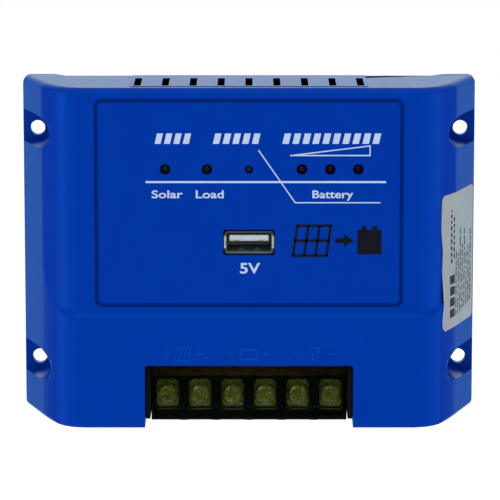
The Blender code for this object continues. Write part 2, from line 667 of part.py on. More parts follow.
def make_lights():
    lenses = {"led_solar": "green_lens", "led_load": "green_lens", "led_battery_1": "amber_lens",
              "led_battery_2": "red_lens", "led_battery_3": "red_lens"}
    radius = 1.2
    for name, x in LIGHT_X.items():
        rim = INNER_FRONT - 5.2
        profile = [(1.7, rim), (1.7, rim + 1.0), (radius, rim + 1.0)]
        dome_out = INNER_FRONT - 0.4
        for i in range(4):
            t = math.pi / 2 * i / 4
            profile.append((radius * math.cos(t), dome_out + radius * math.sin(t)))
        profile.append((0.15, dome_out + radius))
        light = make(name, lenses[name], lambda bm: add_turned(bm, x, LIGHT_Z, profile, 12))

        def add_legs(bm):
            for side in (-1, 1):
                add_box(bm, (x + side * 1.0 - 0.25, DISPLAY_TOP, LIGHT_Z - 0.25),
                        (x + side * 1.0 + 0.25, rim + 0.5, LIGHT_Z + 0.25))

        join(light, f"{name}_leg_tool", add_legs)


def make_mode_button():
    body_top = DISPLAY_TOP + 3.6
    switch = make("mode_switch", "black_plastic", lambda bm: add_box(
        bm, (-3.0, DISPLAY_TOP, LIGHT_Z - 3.0), (3.0, body_top, LIGHT_Z + 3.0)))
    cut(switch, "plunger_bore_cutter", lambda bm: add_cylinder(
        bm, 0.0, LIGHT_Z, 2.0, body_top - 1.4, THROUGH, 16))
    make("mode_button", "grey_plastic", lambda bm: add_turned(
        bm, 0.0, LIGHT_Z, [(1.7, body_top - 0.9), (1.7, INNER_FRONT - 1.0), (0.85, INNER_FRONT - 0.6),
                           (0.85, INNER_FRONT + 0.7), (0.5, INNER_FRONT + 1.0)], 16),
         axis=(0.0, INNER_FRONT, LIGHT_Z))


def make_usb():
    shell = make("usb_shell", "steel", lambda bm: add_prism(bm, usb_outline(USB_SHELL, 0.0, 0.6),
                                                            DISPLAY_TOP, USB_MOUTH))
    cut(shell, "usb_bore_cutter", lambda bm: add_prism(
        bm, usb_outline(USB_SHELL, -USB_SHEET, 0.3), 0.0, THROUGH))
    inner_x, inner_z = USB_SHELL[0] - USB_SHEET - 0.15, USB_SHELL[1] - USB_SHEET - 0.15
    base_top = DISPLAY_TOP + 3.5
    high = USB_Z + inner_z - 0.35
    tip = USB_MOUTH - 0.5
    outline = [(DISPLAY_TOP, USB_Z - inner_z), (base_top, USB_Z - inner_z), (base_top, high - TONGUE),
               (tip - 0.4, high - TONGUE), (tip, high - TONGUE + 0.5), (tip, high),
               (base_top, high), (base_top, USB_Z + inner_z), (DISPLAY_TOP, USB_Z + inner_z)]
    insulator = make("usb_insulator", "white_plastic", lambda bm: add_bar(bm, outline, -inner_x, inner_x))

    def add_tongue_sides(bm):
        for side in (-1, 1):
            near, far = sorted((side * TONGUE_HALF_WIDTH, side * 8.0))
            add_box(bm, (near, base_top, USB_Z - 5.0), (far, THROUGH, USB_Z + 5.0))

    cut(insulator, "tongue_side_cutter", add_tongue_sides)


def main():
    for obj in list(bpy.data.objects):
        bpy.data.objects.remove(obj)
    make_front_cover()
    make_labels()
    make_rear_plate()
    make_fixings()
    make_terminal_block()
    make_terminals()
    make_terminal_cover()
    make_boards()
    make_power_parts()
    make_lights()
    make_mode_button()
    make_usb()


main()
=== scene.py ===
"""Looks of a solar charge controller: fine surfaces, print, materials, light and camera.

Lengths are in millimetres, and a place is written (x, out, z) as in the CAD: X to the right, out
from the wall, Z up. point() turns it into Blender's metres, with the front facing -Y.
"""

import json
import math
import random

import bmesh
import bpy
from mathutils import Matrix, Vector


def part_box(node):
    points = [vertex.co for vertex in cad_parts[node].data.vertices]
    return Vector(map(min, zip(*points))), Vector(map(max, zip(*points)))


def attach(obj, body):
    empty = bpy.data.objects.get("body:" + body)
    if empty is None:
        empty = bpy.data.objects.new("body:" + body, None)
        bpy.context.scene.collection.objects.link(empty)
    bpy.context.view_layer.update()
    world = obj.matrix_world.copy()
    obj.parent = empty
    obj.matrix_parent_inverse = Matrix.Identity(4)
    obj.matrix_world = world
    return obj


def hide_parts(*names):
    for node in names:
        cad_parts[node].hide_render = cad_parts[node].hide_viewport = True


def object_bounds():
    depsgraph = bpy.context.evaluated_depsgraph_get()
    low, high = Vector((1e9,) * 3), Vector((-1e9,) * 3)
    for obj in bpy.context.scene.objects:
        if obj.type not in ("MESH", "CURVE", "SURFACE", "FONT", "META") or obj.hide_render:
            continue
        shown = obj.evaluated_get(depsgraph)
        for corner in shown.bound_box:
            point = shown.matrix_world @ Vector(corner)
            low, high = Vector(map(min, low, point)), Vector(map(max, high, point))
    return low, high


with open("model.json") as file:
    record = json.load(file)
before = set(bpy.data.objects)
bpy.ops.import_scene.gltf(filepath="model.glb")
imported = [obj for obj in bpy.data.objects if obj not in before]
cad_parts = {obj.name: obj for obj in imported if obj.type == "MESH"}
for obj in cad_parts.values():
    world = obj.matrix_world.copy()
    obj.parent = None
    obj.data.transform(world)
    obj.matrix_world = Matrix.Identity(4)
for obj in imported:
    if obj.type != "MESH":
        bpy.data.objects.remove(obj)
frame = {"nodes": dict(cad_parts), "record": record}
cad_low, cad_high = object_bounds()

MM = 0.001
NODES = frame["nodes"]


def span(node):
    """Lowest and highest (x, out, z) of a CAD node, in millimetres."""
    low, high = (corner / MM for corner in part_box(node))
    return (low.x, -high.y, low.z), (high.x, -low.y, high.z)


def middle(node):
    low, high = span(node)
    return tuple((a + b) / 2 for a, b in zip(low, high))


def places(stem, count):
    """(x, z) of the CAD nodes stem_1, stem_2 and so on."""
    return [middle(f"{stem}_{i}")[::2] for i in range(1, count + 1)]


# ---- driving sizes

HALF_WIDTH = cad_high.x / MM
HALF_HEIGHT = cad_high.z / MM
DEPTH = -cad_low.y / MM
EAR = 3.0  # thickness of the ears
WALL = 2.2
STEP = 1.0  # the upper part of the front lies this much deeper than the terminal part
STEP_Z = -16.3
FLOOR_X = 55.0  # half the width of the cavity at its open back
RIM_OUT = 4.5  # the end walls start this far from the wall
HOLE_X, HOLE_ZS, HOLE_RADIUS = 62.1, (33.8, -34.6), 2.15
POCKET_RISE = 0.95  # a pocket is centred this far above its hole
POCKET_RADIUS, POCKET_WALL = 4.75, 2.0

LABEL_X = span("front_label")[1][0]
LABEL_LOW, LABEL_HIGH = span("front_label")[0][2], span("front_label")[1][2]
LABEL_BACK, LABEL_FRONT = span("front_label")[0][1], span("front_label")[1][1]
GROOVE = 1.05  # width of the groove round the label
RECESS_FLOOR = DEPTH - STEP - 0.8
GROOVE_FLOOR = RECESS_FLOOR - 0.4
LIGHTS = {"led_solar": "green_lens", "led_load": "green_lens", "led_battery_1": "amber_lens",
          "led_battery_2": "red_lens", "led_battery_3": "red_lens"}
LIGHT_Z = middle("led_solar")[2]
LIGHT_HOLE, BUTTON_HOLE = 1.5, 1.15
USB_HALF = (7.4, 3.65)
USB_Z = middle("usb_shell")[2]
VENT_PITCH, VENT_WIDTH, VENT_COUNT, VENT_OUT = 8.0, 2.0, 9, (12.1, 30.2)
NOTCH_X, NOTCH_TOP, NOTCH_OUT = 30.0, -30.9, 11.2
TERMINALS = range(1, 7)
FAR = 60.0  # beyond every outer face, for cutters
INSIDE = DEPTH - STEP - WALL - 1.0  # behind the front wall, for cutters


# ---- mesh helpers

def point(x, out, z):
    return Vector((x, -out, z)) * MM


def add_loft(bm, rings, closed=False):
    """A closed solid through rings of equally many points. closed joins the last ring to the first."""
    loops = [[bm.verts.new(corner) for corner in ring] for ring in rings]
    count = len(loops[0])
    pairs = list(zip(loops, loops[1:] + loops[:1] if closed else loops[1:]))
    for first, second in pairs:
        for i in range(count):
            j = (i + 1) % count
            bm.faces.new((first[i], first[j], second[j], second[i]))
    if not closed:
        bm.faces.new(loops[0][::-1])
        bm.faces.new(loops[-1])


def add_box(bm, low, high):
    (x0, out0, z0), (x1, out1, z1) = low, high
    add_loft(bm, [[point(x, out, z) for x, z in ((x0, z0), (x1, z0), (x1, z1), (x0, z1))]
                  for out in (out0, out1)])


def add_levels(bm, outline_at, levels):
    """A solid drawn out from the wall. outline_at(margin) gives (x, z) points; levels list (out, margin)."""
    add_loft(bm, [[point(x, out, z) for x, z in outline_at(margin)] for out, margin in levels])


def add_prism(bm, outline, out_low, out_high):
    add_levels(bm, lambda margin: outline, [(out_low, 0.0), (out_high, 0.0)])


def add_upright(bm, outline_at, levels):
    """A solid drawn upwards. outline_at(margin) gives (x, out) points; levels list (z, margin)."""
    add_loft(bm, [[point(x, out, z) for x, out in outline_at(margin)] for z, margin in levels])


def add_column(bm, section, z_low, z_high):
    """A section of (x, out) points, drawn upwards."""
    add_upright(bm, lambda margin: section, [(z_low, 0.0), (z_high, 0.0)])


def add_bar(bm, outline, x_low, x_high):
    """An outline of (out, z) points, drawn along X."""
    add_loft(bm, [[point(x, out, z) for out, z in outline] for x in (x_low, x_high)])


def add_turned(bm, x, z, profile, segments=48):
    """A solid turned about the axis through (x, z) that points out. profile lists (radius, out)."""
    turns = [2 * math.pi * i / segments for i in range(segments)]
    add_loft(bm, [[point(x + radius * math.cos(t), out, z + radius * math.sin(t)) for t in turns]
                  for radius, out in profile])


def add_cylinder(bm, x, z, radius, out_low, out_high, segments=48):
    add_turned(bm, x, z, [(radius, out_low), (radius, out_high)], segments)


def add_cylinders(bm, stem, count, *size):
    """One cylinder at each of the CAD nodes stem_1, stem_2 and so on."""
    for x, z in places(stem, count):
        add_cylinder(bm, x, z, *size)


def rectangle(x_low, x_high, z_low, z_high, radius, steps=8):
    """(x, z) points of a rectangle with round corners."""
    outline = []
    left, right, low, high = x_low + radius, x_high - radius, z_low + radius, z_high - radius
    for corner, (x, z) in enumerate(((right, high), (left, high), (left, low), (right, low))):
        for i in range(steps + 1):
            t = math.pi / 2 * (corner + i / steps)
            outline.append((x + radius * math.cos(t), z + radius * math.sin(t)))
    return outline


def round_corners(outline, radius, steps=4):
    """The closed outline with every corner turned into a small curve."""
    rounded = []
    for i, corner in enumerate(outline):
        here = Vector(corner)
        before, after = Vector(outline[i - 1]) - here, Vector(outline[(i + 1) % len(outline)]) - here
        reach = min(radius, before.length * 0.45, after.length * 0.45)
        first, last = here + before.normalized() * reach, here + after.normalized() * reach
        for k in range(steps + 1):
            t = k / steps
            rounded.append(tuple(first * (1 - t) ** 2 + here * (2 * t * (1 - t)) + last * t * t))
    return rounded


def box_outline(a_low, a_high, b_low, b_high, radius=0.0):
    corners = [(a_low, b_low), (a_high, b_low), (a_high, b_high), (a_low, b_high)]
    return round_corners(corners, radius) if radius else corners


def add_object(name, data):
    obj = bpy.data.objects.new(name, data)
    bpy.context.scene.collection.objects.link(obj)
    return obj


def mesh_object(name, build):
    bm = bmesh.new()
    build(bm)
    bmesh.ops.recalc_face_normals(bm, faces=bm.faces)
    mesh = bpy.data.meshes.new(name)
    bm.to_mesh(mesh)
    bm.free()
    return add_object(name, mesh)


def bake(obj):
    """Turns the modified shape into the object's own mesh."""
    graph = bpy.context.evaluated_depsgraph_get()
    mesh = bpy.data.meshes.new_from_object(obj.evaluated_get(graph))
    obj.modifiers.clear()
    obj.data = mesh


def carve(obj, *builds, operation="DIFFERENCE"):
    """Cuts (or joins) each built solid from obj, one after the other, and bakes the result."""
    helpers = []
    for build in builds:
        helper = build if isinstance(build, bpy.types.Object) else mesh_object("helper", build)
        helpers.append(helper)
        modifier = obj.modifiers.new("carve", "BOOLEAN")
        modifier.operation = operation
        modifier.solver = "MANIFOLD"
        modifier.object = helper
    bake(obj)
    for helper in helpers:
        bpy.data.objects.remove(helper)
    return obj


def shade(obj, angle=32.0, weighted=True):
    obj.data.shade_smooth()
    obj.data.set_sharp_from_angle(angle=math.radians(angle))
    if weighted:
        modifier = obj.modifiers.new("normals", "WEIGHTED_NORMAL")
        modifier.keep_sharp = True
        modifier.weight = 100
        bake(obj)


def finish_piece(obj, body, slot, *replaced, look=None, angle=32.0, weighted=True):
    """Shades obj, gives it its slot's look unless another is named, and lets it ride its body."""
    shade(obj, angle, weighted)
    obj.data.materials.clear()
    obj.data.materials.append(LOOKS[look or slot])
    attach(obj, body)
    if replaced:
        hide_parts(*replaced)


# ---- materials

def new_look(name, colour, roughness, metallic=0.0, **sockets):
    look = bpy.data.materials.new(name)
    look.use_nodes = True
    shader = next(n for n in look.node_tree.nodes if n.type == "BSDF_PRINCIPLED")
    shader.inputs["Base Color"].default_value = (*colour, 1.0)
    shader.inputs["Roughness"].default_value = roughness
    shader.inputs["Metallic"].default_value = metallic
    for socket, value in sockets.items():
        shader.inputs[socket.replace("_", " ")].default_value = value
    return look, shader


def node(look, kind, **values):
    made = look.node_tree.nodes.new(kind)
    for name, value in values.items():
        socket = made.inputs.get(name.replace("_", " "))
        if socket is not None:
            socket.default_value = value
        else:
            setattr(made, name, value)
    return made


def link(look, output, target):
    look.node_tree.links.new(output, target)


def noise(look, size_mm, detail=3.0, stretch=(1.0, 1.0, 1.0)):
    """Noise whose features are about size_mm across, in the object's own space."""
    place = node(look, "ShaderNodeTexCoord")
    mapping = node(look, "ShaderNodeMapping", Scale=stretch)
    link(look, place.outputs["Object"], mapping.inputs["Vector"])
    made = node(look, "ShaderNodeTexNoise", Scale=1.0 / (size_mm * MM), Detail=detail)
    link(look, mapping.outputs["Vector"], made.inputs["Vector"])
    return made.outputs["Fac"]


def blend_colour(look, factor, low, high, start=0.3, end=0.7):
    ramp = node(look, "ShaderNodeValToRGB")
    first, last = ramp.color_ramp.elements
    first.position, last.position = start, end
    first.color, last.color = (*low, 1.0), (*high, 1.0)
    link(look, factor, ramp.inputs["Fac"])
    return ramp.outputs["Color"]


def blend_value(look, factor, low, high, start=0.3, end=0.7):
    made = node(look, "ShaderNodeMapRange")
    for name, value in (("From Min", start), ("From Max", end), ("To Min", low), ("To Max", high)):
        made.inputs[name].default_value = value
    link(look, factor, made.inputs["Value"])
    return made.outputs["Result"]


def bumps(look, shader, height, strength, depth_mm, edge_mm=0.0):
    """Bump from height, over edges that the eye sees as rounded by edge_mm."""
    bump = node(look, "ShaderNodeBump", Strength=strength, Distance=depth_mm * MM)
    link(look, height, bump.inputs["Height"])
    if edge_mm:
        edge = node(look, "ShaderNodeBevel", samples=4, Radius=edge_mm * MM)
        link(look, edge.outputs["Normal"], bump.inputs["Normal"])
    link(look, bump.outputs["Normal"], shader.inputs["Normal"])


def mottle(look, shader, marks, colour, variation):
    """Lets the marks vary the base colour."""
    low = [c * (1 - variation) for c in colour]
    high = [min(1.0, c * (1 + variation)) for c in colour]
    link(look, blend_colour(look, marks, low, high), shader.inputs["Base Color"])


def moulded(name, colour, roughness, variation=0.06, grain_mm=0.35, depth_mm=0.012, edge_mm=0.15, **sockets):
    """Moulded plastic: faint mottle, uneven gloss and a fine spark-eroded grain."""
    look, shader = new_look(name, colour, roughness, **sockets)
    mottle(look, shader, noise(look, 9.0), colour, variation)
    gloss = blend_value(look, noise(look, 2.2), roughness * 0.92, roughness * 1.08)
    link(look, gloss, shader.inputs["Roughness"])
    bumps(look, shader, noise(look, grain_mm), 0.35, depth_mm, edge_mm)
    return look


def metal(name, colour, roughness, brushed=(1.0, 1.0, 1.0), size_mm=0.8, metallic=1.0):
    """Metal with fine marks, drawn out along the direction it is brushed in."""
    look, shader = new_look(name, colour, roughness, metallic)
    marks, edge_mm = noise(look, size_mm, 5.0, brushed), 0.08
    mottle(look, shader, marks, colour, 0.15)
    link(look, blend_value(look, marks, roughness * 0.75, roughness * 1.3), shader.inputs["Roughness"])
    bumps(look, shader, noise(look, size_mm * 0.4, 3.0, brushed), 0.3, 0.01, edge_mm)
    return look


def board_look():
    """Solder mask with traces and pads that show through it."""
    look, shader = new_look("board", (0.1, 0.06, 0.01), 0.35)
    place = node(look, "ShaderNodeTexCoord")
    cells = node(look, "ShaderNodeTexVoronoi", Scale=240.0, distance="MANHATTAN")
    link(look, place.outputs["Object"], cells.inputs["Vector"])
    edges = blend_value(look, cells.outputs["Distance"], 0.0, 1.0, 0.42, 0.46)
    link(look, blend_colour(look, edges, (0.13, 0.07, 0.012), (0.28, 0.16, 0.03), 0.0, 1.0),
         shader.inputs["Base Color"])
    bumps(look, shader, edges, 0.4, 0.03)
    return look


BLUE = (0.0, 0.0285, 0.31)
BLUE_SPECULAR = {"IOR": 1.42, "Specular_Tint": (0.05, 0.55, 1.0, 1.0)}

LOOKS = {
    "case_plastic": moulded("case_blue", BLUE, 0.22, variation=0.04, **BLUE_SPECULAR),
    "label_film": moulded("film_blue", (0.0, 0.026, 0.3), 0.25, variation=0.02, grain_mm=0.8,
                          depth_mm=0.006, edge_mm=0.05, **BLUE_SPECULAR),
    "print": moulded("print_white", (0.41, 0.51, 0.68), 0.4, variation=0.05, edge_mm=0.0),
    "print_black": moulded("print_black", (0.006, 0.007, 0.012), 0.42, variation=0.2, edge_mm=0.0),
    "sticker_film": moulded("sticker_silver", (0.28, 0.31, 0.335), 0.34, variation=0.04, grain_mm=1.5,
                            depth_mm=0.01, edge_mm=0.03),
    "sticker_print": moulded("sticker_print", (0.035, 0.036, 0.045), 0.45, variation=0.2, edge_mm=0.0),
    "black_plastic": moulded("black_plastic", (0.006, 0.0065, 0.0065), 0.4, variation=0.2, edge_mm=0.12),
    "white_plastic": moulded("white_plastic", (0.42, 0.46, 0.52), 0.4, variation=0.05, edge_mm=0.05),
    "grey_plastic": moulded("grey_plastic", (0.16, 0.13, 0.12), 0.45),
    "zinc_steel": metal("zinc_steel", (0.8, 0.78, 0.7), 0.26, metallic=0.55),
    "socket_steel": metal("socket_steel", (0.56, 0.56, 0.58), 0.26, brushed=(1.0, 0.15, 1.0),
                          size_mm=0.5, metallic=0.4),
    # shaded_socket_steel: a dark copy of the socket steel, painted shade for the shell's shadowed bore
    "shaded_socket_steel": metal("socket_steel_painted_shade", (0.1, 0.095, 0.09), 0.32, size_mm=0.5, metallic=0.5),
    "contact_brass": metal("contact_brass", (0.62, 0.44, 0.16), 0.35),
    "gold": metal("contact_gold", (0.8, 0.56, 0.2), 0.28),
    "plate_aluminium": metal("plate_aluminium", (0.5, 0.5, 0.51), 0.4, brushed=(0.08, 1.0, 1.0),
                             size_mm=0.5, metallic=0.45),
    "copper": metal("copper_wire", (0.72, 0.3, 0.1), 0.32),
    "ferrite": moulded("ferrite_coat", (0.42, 0.4, 0.06), 0.5, variation=0.15),
    "capacitor_sleeve": moulded("capacitor_sleeve", (0.02, 0.022, 0.06), 0.28, variation=0.1),
    "pad_silicone": moulded("silicone_pad", (0.3, 0.36, 0.45), 0.7, variation=0.1),
    "fuse_plastic": moulded("fuse_plastic", (0.6, 0.42, 0.03), 0.2, Transmission_Weight=0.5),
    "green_lens": moulded("lens_green", (0.003, 0.045, 0.012), 0.12, variation=0.1, Transmission_Weight=0.25),
    "amber_lens": moulded("lens_amber", (0.07, 0.014, 0.004), 0.12, variation=0.1, Transmission_Weight=0.25),
    "red_lens": moulded("lens_red", (0.045, 0.005, 0.005), 0.12, variation=0.1, Transmission_Weight=0.25),
    # deep: a bright blue that glows, painted light for the vent baffle, standing in for light scattered
    # through the plastic
    "deep": moulded("case_blue_painted_glow", (0.0, 0.015, 0.95), 0.6, variation=0.04,
                    Emission_Color=(0.0, 0.0, 1.0, 1.0), Emission_Strength=0.12, **BLUE_SPECULAR),
    # relief: a lighter copy of the case blue, a painted highlight for the light that the raised symbols'
    # edges catch
    "relief": moulded("case_relief_painted_highlight", (0.0, 0.055, 0.43), 0.3, variation=0.03, edge_mm=0.0, **BLUE_SPECULAR),
    # button: a much darker copy of the button's grey plastic, painted shade for the deep hole it sits in
    "button": moulded("button_painted_shade", (0.03, 0.022, 0.018), 0.35),
    "smoky_plastic": moulded("smoky_clear", (0.5, 0.56, 0.24), 0.04, variation=0.04, grain_mm=3.0,
                             depth_mm=0.01, edge_mm=0.0, Transmission_Weight=1.0, IOR=1.45),
    "circuit_board": board_look(),
}


# ---- case surface

def arc_steps(length, start, end, steps):
    return [(length / steps, start + (end - start) * i / steps, start + (end - start) * (i + 1) / steps)
            for i in range(steps)]


def make_profile():
    """The right half of the case's section, from the foot up to the middle of the front.

    Each entry is (x, out, slope, run): a point, the slope of the surface in radians (a quarter turn
    on the upright foot, 0 on the flat front) and the length along the surface from the foot.
    """
    upright, lean, crown, shoulder = (math.radians(a) for a in (90.0, 71.4, 70.0, 66.0))
    foot_radius, crown_turn, crown_run, shoulder_radius = 1.2, 0.8, 9.2, 10.67

    def rise(length, start, end):
        if abs(start - end) < 1e-9:
            return length * math.sin(start)
        return length / (start - end) * (math.cos(end) - math.cos(start))

    foot_run = foot_radius * (upright - lean)
    shoulder_run = shoulder_radius * shoulder
    others = (EAR + rise(foot_run, upright, lean) + rise(crown_turn, lean, crown)
              + rise(crown_run, crown, shoulder) + rise(shoulder_run, shoulder, 0.0))
    flank_run = (DEPTH - others) / math.sin(lean)
    segments = (arc_steps(EAR, upright, upright, 2) + arc_steps(foot_run, upright, lean, 5)
                + arc_steps(flank_run, lean, lean, 18) + arc_steps(crown_turn, lean, crown, 3)
                + arc_steps(crown_run, crown, shoulder, 18) + arc_steps(shoulder_run, shoulder, 0.0, 26))
    x, out, run = HALF_WIDTH, 0.0, 0.0
    profile = [(x, out, upright, run)]
    for length, start, end in segments:
        middle_slope = (start + end) / 2
        half = (start - end) / 2
        chord = length * (math.sin(half) / half if half > 1e-9 else 1.0)
        x -= chord * math.cos(middle_slope)
        out += chord * math.sin(middle_slope)
        run += length
        profile.append((x, out, end, run))
    flat_steps = 12
    edge_x, edge_run = x, run
    for i in range(1, flat_steps + 1):
        profile.append((edge_x * (1 - i / flat_steps), DEPTH, 0.0, edge_run + edge_x * i / flat_steps))
    return profile


PROFILE = make_profile()
HALF_RUN = PROFILE[-1][3]


def smooth(value, low, high):
    t = min(1.0, max(0.0, (value - low) / (high - low)))
    return t * t * (3 - 2 * t)


def step_depth(across, z):
    """How far the surface lies under the terminal part's level. across is the run from the middle line."""
    half, corner = 67.8, 19.0
    x = abs(across) - (half - corner)
    y = STEP_Z + corner - z
    outside = math.hypot(max(x, 0.0), max(y, 0.0)) + min(max(x, y), 0.0) - corner
    return STEP * smooth(-outside, -1.0, 1.0) * (1.0 - smooth(abs(across), half - 14.0, half + 1.0))


def skin(entry, z, inset=0.0):
    """(x, out) of a profile entry at height z, moved in along the normal by inset."""
    x, out, slope, run = entry
    under = inset + step_depth(HALF_RUN - run, z)
    moved_out = max(0.0, out - math.cos(slope) * under)
    return x - math.sin(slope) * under, moved_out


def mirrored(half):
    return half + [(-x, out) for x, out in reversed(half) if abs(x) > 1e-6]


def end_levels(sign, radius, steps=7):
    """(z, inset) pairs that round off one end of the case, from the tip inwards."""
    turns = [math.pi / 2 * i / steps for i in range(steps + 1)]
    return [(sign * (HALF_HEIGHT - radius * (1 - math.cos(t))), radius * (1 - math.sin(t))) for t in turns]


def add_case_block(bm):
    """The outer shape in level slices, fine over the step and where the ends are rounded."""
    bottom_round, top_round = 1.6, 2.2
    levels = end_levels(-1, bottom_round)
    z = levels[-1][0]
    for stop, pace in ((-22.0, 2.2), (-4.0, 0.5), (14.0, 1.5), (HALF_HEIGHT - top_round, 3.0)):
        steps = max(1, round((stop - z) / pace))
        start = z
        for i in range(1, steps + 1):
            z = start + (stop - start) * i / steps
            levels.append((z, 0.0))
    levels += end_levels(1, top_round)[::-1][1:]
    add_loft(bm, [[point(x, out, z) for x, out in mirrored([skin(e, z, inset) for e in PROFILE])]
                  for z, inset in levels])


def add_cavity(bm):
    inset = STEP + WALL
    half = [(FLOOR_X, -5.0), (FLOOR_X, EAR)]
    for x, out, slope, run in PROFILE[::3]:
        inner = out - math.cos(slope) * inset
        if inner > EAR:
            half.append((x - math.sin(slope) * inset, inner))
    inner_z = HALF_HEIGHT - WALL
    add_column(bm, mirrored(half), -inner_z, inner_z)


def pocket_outline(side, z, radius, steps=24):
    x = side * HOLE_X
    outline = [(side * FAR * 1.5, z - radius)]
    for i in range(steps + 1):
        t = math.pi / 2 + math.pi * i / steps
        outline.append((x + side * radius * math.cos(t), z - radius * math.sin(t)))
    return outline + [(side * FAR * 1.5, z + radius)]


def add_pockets(bm, radius, out_low):
    for side in (-1, 1):
        for z in HOLE_ZS:
            add_prism(bm, pocket_outline(side, z + POCKET_RISE, radius), out_low, FAR)


def add_bosses(bm):
    add_cylinders(bm, "case_screw", 4, 3.2, 2.3, FAR)
    add_cylinders(bm, "display_screw", 2, 3.0, 21.9, FAR)


def add_round_holes(bm):
    lip = 0.25
    profile = [(HOLE_RADIUS, -5.0), (HOLE_RADIUS, EAR - lip), (HOLE_RADIUS + 0.08, EAR - 0.1),
               (HOLE_RADIUS + lip, EAR + 0.01), (HOLE_RADIUS + lip, EAR + 1)]
    for side in (-1, 1):
        for z in HOLE_ZS:
            add_turned(bm, side * HOLE_X, z, profile)
    add_cylinders(bm, "case_screw", 4, 1.7, 1.0, 12.0, 24)
    add_cylinders(bm, "display_screw", 2, 1.5, 20.0, 29.0, 24)


def add_light_holes(bm):
    for name in LIGHTS:
        add_cylinder(bm, middle(name)[0], LIGHT_Z, LIGHT_HOLE, INSIDE, FAR)
    add_cylinder(bm, 0.0, LIGHT_Z, BUTTON_HOLE, INSIDE, FAR, 32)


def vent_x(i):
    return VENT_PITCH * (i - (VENT_COUNT - 1) / 2)


def add_vents(bm):
    half = VENT_WIDTH / 2
    for i in range(VENT_COUNT):
        x = vent_x(i)
        add_upright(bm, lambda grow: rectangle(x - half - grow, x + half + grow, VENT_OUT[0] - grow,
                                               VENT_OUT[1] + grow, 0.3, 3),
                    [(HALF_HEIGHT - WALL - 1, 0.0), (HALF_HEIGHT + 0.1, 0.0), (HALF_HEIGHT + 0.45, 0.2)])


def add_vent_panel(bm):
    """The slightly raised panel that carries the vents."""
    x, low, high, proud = 34.0, 0.6, 31.6, 0.14
    top = HALF_HEIGHT + proud
    add_upright(bm, lambda margin: rectangle(-x - margin, x + margin, low - margin, high + margin, 0.5, 3),
                [(HALF_HEIGHT - 1.0, 0.0), (top - 0.06, 0.0), (top, -0.08)])


def add_rims(bm):
    """The end walls stop short of the wall, with an S-shaped run-out at each ear."""
    steps, foot_x, run_out = 10, 56.8, 3.0
    outline = [(foot_x, -5.0)]
    outline += [(foot_x - run_out * smooth(i / steps, 0.0, 1.0), RIM_OUT * i / steps)
                for i in range(steps + 1)]
    outline += [(-x, out) for x, out in reversed(outline)]
    inner = HALF_HEIGHT - WALL - 0.2
    for z_low, z_high in ((-FAR, -inner), (inner, FAR)):
        add_column(bm, outline, z_low, z_high)


def label_outline(margin, radius=1.4):
    return rectangle(-LABEL_X - margin, LABEL_X + margin, LABEL_LOW - margin, LABEL_HIGH + margin,
                     radius + max(0.0, margin) * 0.8)


def usb_outline(margin=0.0, radius=0.7):
    x, z = USB_HALF[0] + margin, USB_HALF[1] + margin
    return rectangle(-x, x, USB_Z - z, USB_Z + z, radius + max(margin, 0.0))


def add_recess(bm):
    face = DEPTH - STEP
    add_levels(bm, label_outline, [(GROOVE_FLOOR, GROOVE), (face - 0.2, GROOVE), (face - 0.07, GROOVE + 0.06),
                                   (face + 0.01, GROOVE + 0.2), (FAR, GROOVE + 0.2)])


def make_recess_cutter():
    """The recess round the label: a shelf under the film, and a deeper groove about it."""
    cutter = mesh_object("recess", add_recess)
    return carve(cutter, lambda bm: add_levels(bm, label_outline, [(20.0, -0.3), (RECESS_FLOOR + 0.1, -0.3)]))


def add_notch(bm):
    def outline(margin):
        steps, radius = 6, 0.9
        x, top = NOTCH_X + margin, NOTCH_TOP + margin
        points = [(x, -FAR)]
        for centre_x, start in ((x - radius, 0.0), (-x + radius, math.pi / 2)):
            for i in range(steps + 1):
                t = start + math.pi / 2 * i / steps
                points.append((centre_x + radius * math.cos(t), top - radius + radius * math.sin(t)))
        return points + [(-x, -FAR)]
    add_levels(bm, outline, [(NOTCH_OUT, 0.0), (DEPTH - 0.35, 0.0), (DEPTH - 0.12, 0.08), (DEPTH + 0.01, 0.3),
                             (FAR, 0.3)])


def make_case():
    cover = mesh_object("cover_shell", add_case_block)
    carve(cover, add_vent_panel, operation="UNION")
    cavity = mesh_object("cavity", add_cavity)
    carve(cavity, lambda bm: add_pockets(bm, POCKET_RADIUS + POCKET_WALL, -10.0), add_bosses)
    carve(cover, cavity)
    carve(cover, lambda bm: add_pockets(bm, POCKET_RADIUS, EAR), add_round_holes, add_vents, add_rims,
          make_recess_cutter(), add_light_holes, lambda bm: add_prism(bm, usb_outline(), INSIDE, FAR),
          add_notch)
    finish_piece(cover, "case", "case_plastic", "front_cover")


# ---- label film and print

def make_film():
    behind, over = 30.0, LABEL_FRONT + 0.01  # where the cutters start, and where their bevels end
    film = mesh_object("label_film", lambda bm: add_levels(
        bm, label_outline, [(LABEL_BACK, 0.0), (LABEL_FRONT - 0.08, 0.0), (LABEL_FRONT, -0.08)]))

    def add_windows(bm):
        window = [(LIGHT_HOLE, behind), (LIGHT_HOLE, LABEL_FRONT - 0.25),
                  (LIGHT_HOLE + 0.08, LABEL_FRONT - 0.08), (LIGHT_HOLE + 0.22, over),
                  (LIGHT_HOLE + 0.22, FAR)]
        for name in LIGHTS:
            add_turned(bm, middle(name)[0], LIGHT_Z, window)
        add_turned(bm, 0.0, LIGHT_Z, [(BUTTON_HOLE, behind), (BUTTON_HOLE, LABEL_FRONT - 0.2),
                                      (BUTTON_HOLE + 0.15, over), (BUTTON_HOLE + 0.15, FAR)], 32)

    carve(film, add_windows, lambda bm: add_levels(
        bm, usb_outline, [(behind, 0.0), (LABEL_FRONT - 0.2, 0.0), (over, 0.15), (FAR, 0.15)]))
    finish_piece(film, "case", "label_film", "front_label")


PRINT = (LABEL_FRONT - 0.02, LABEL_FRONT + 0.04)


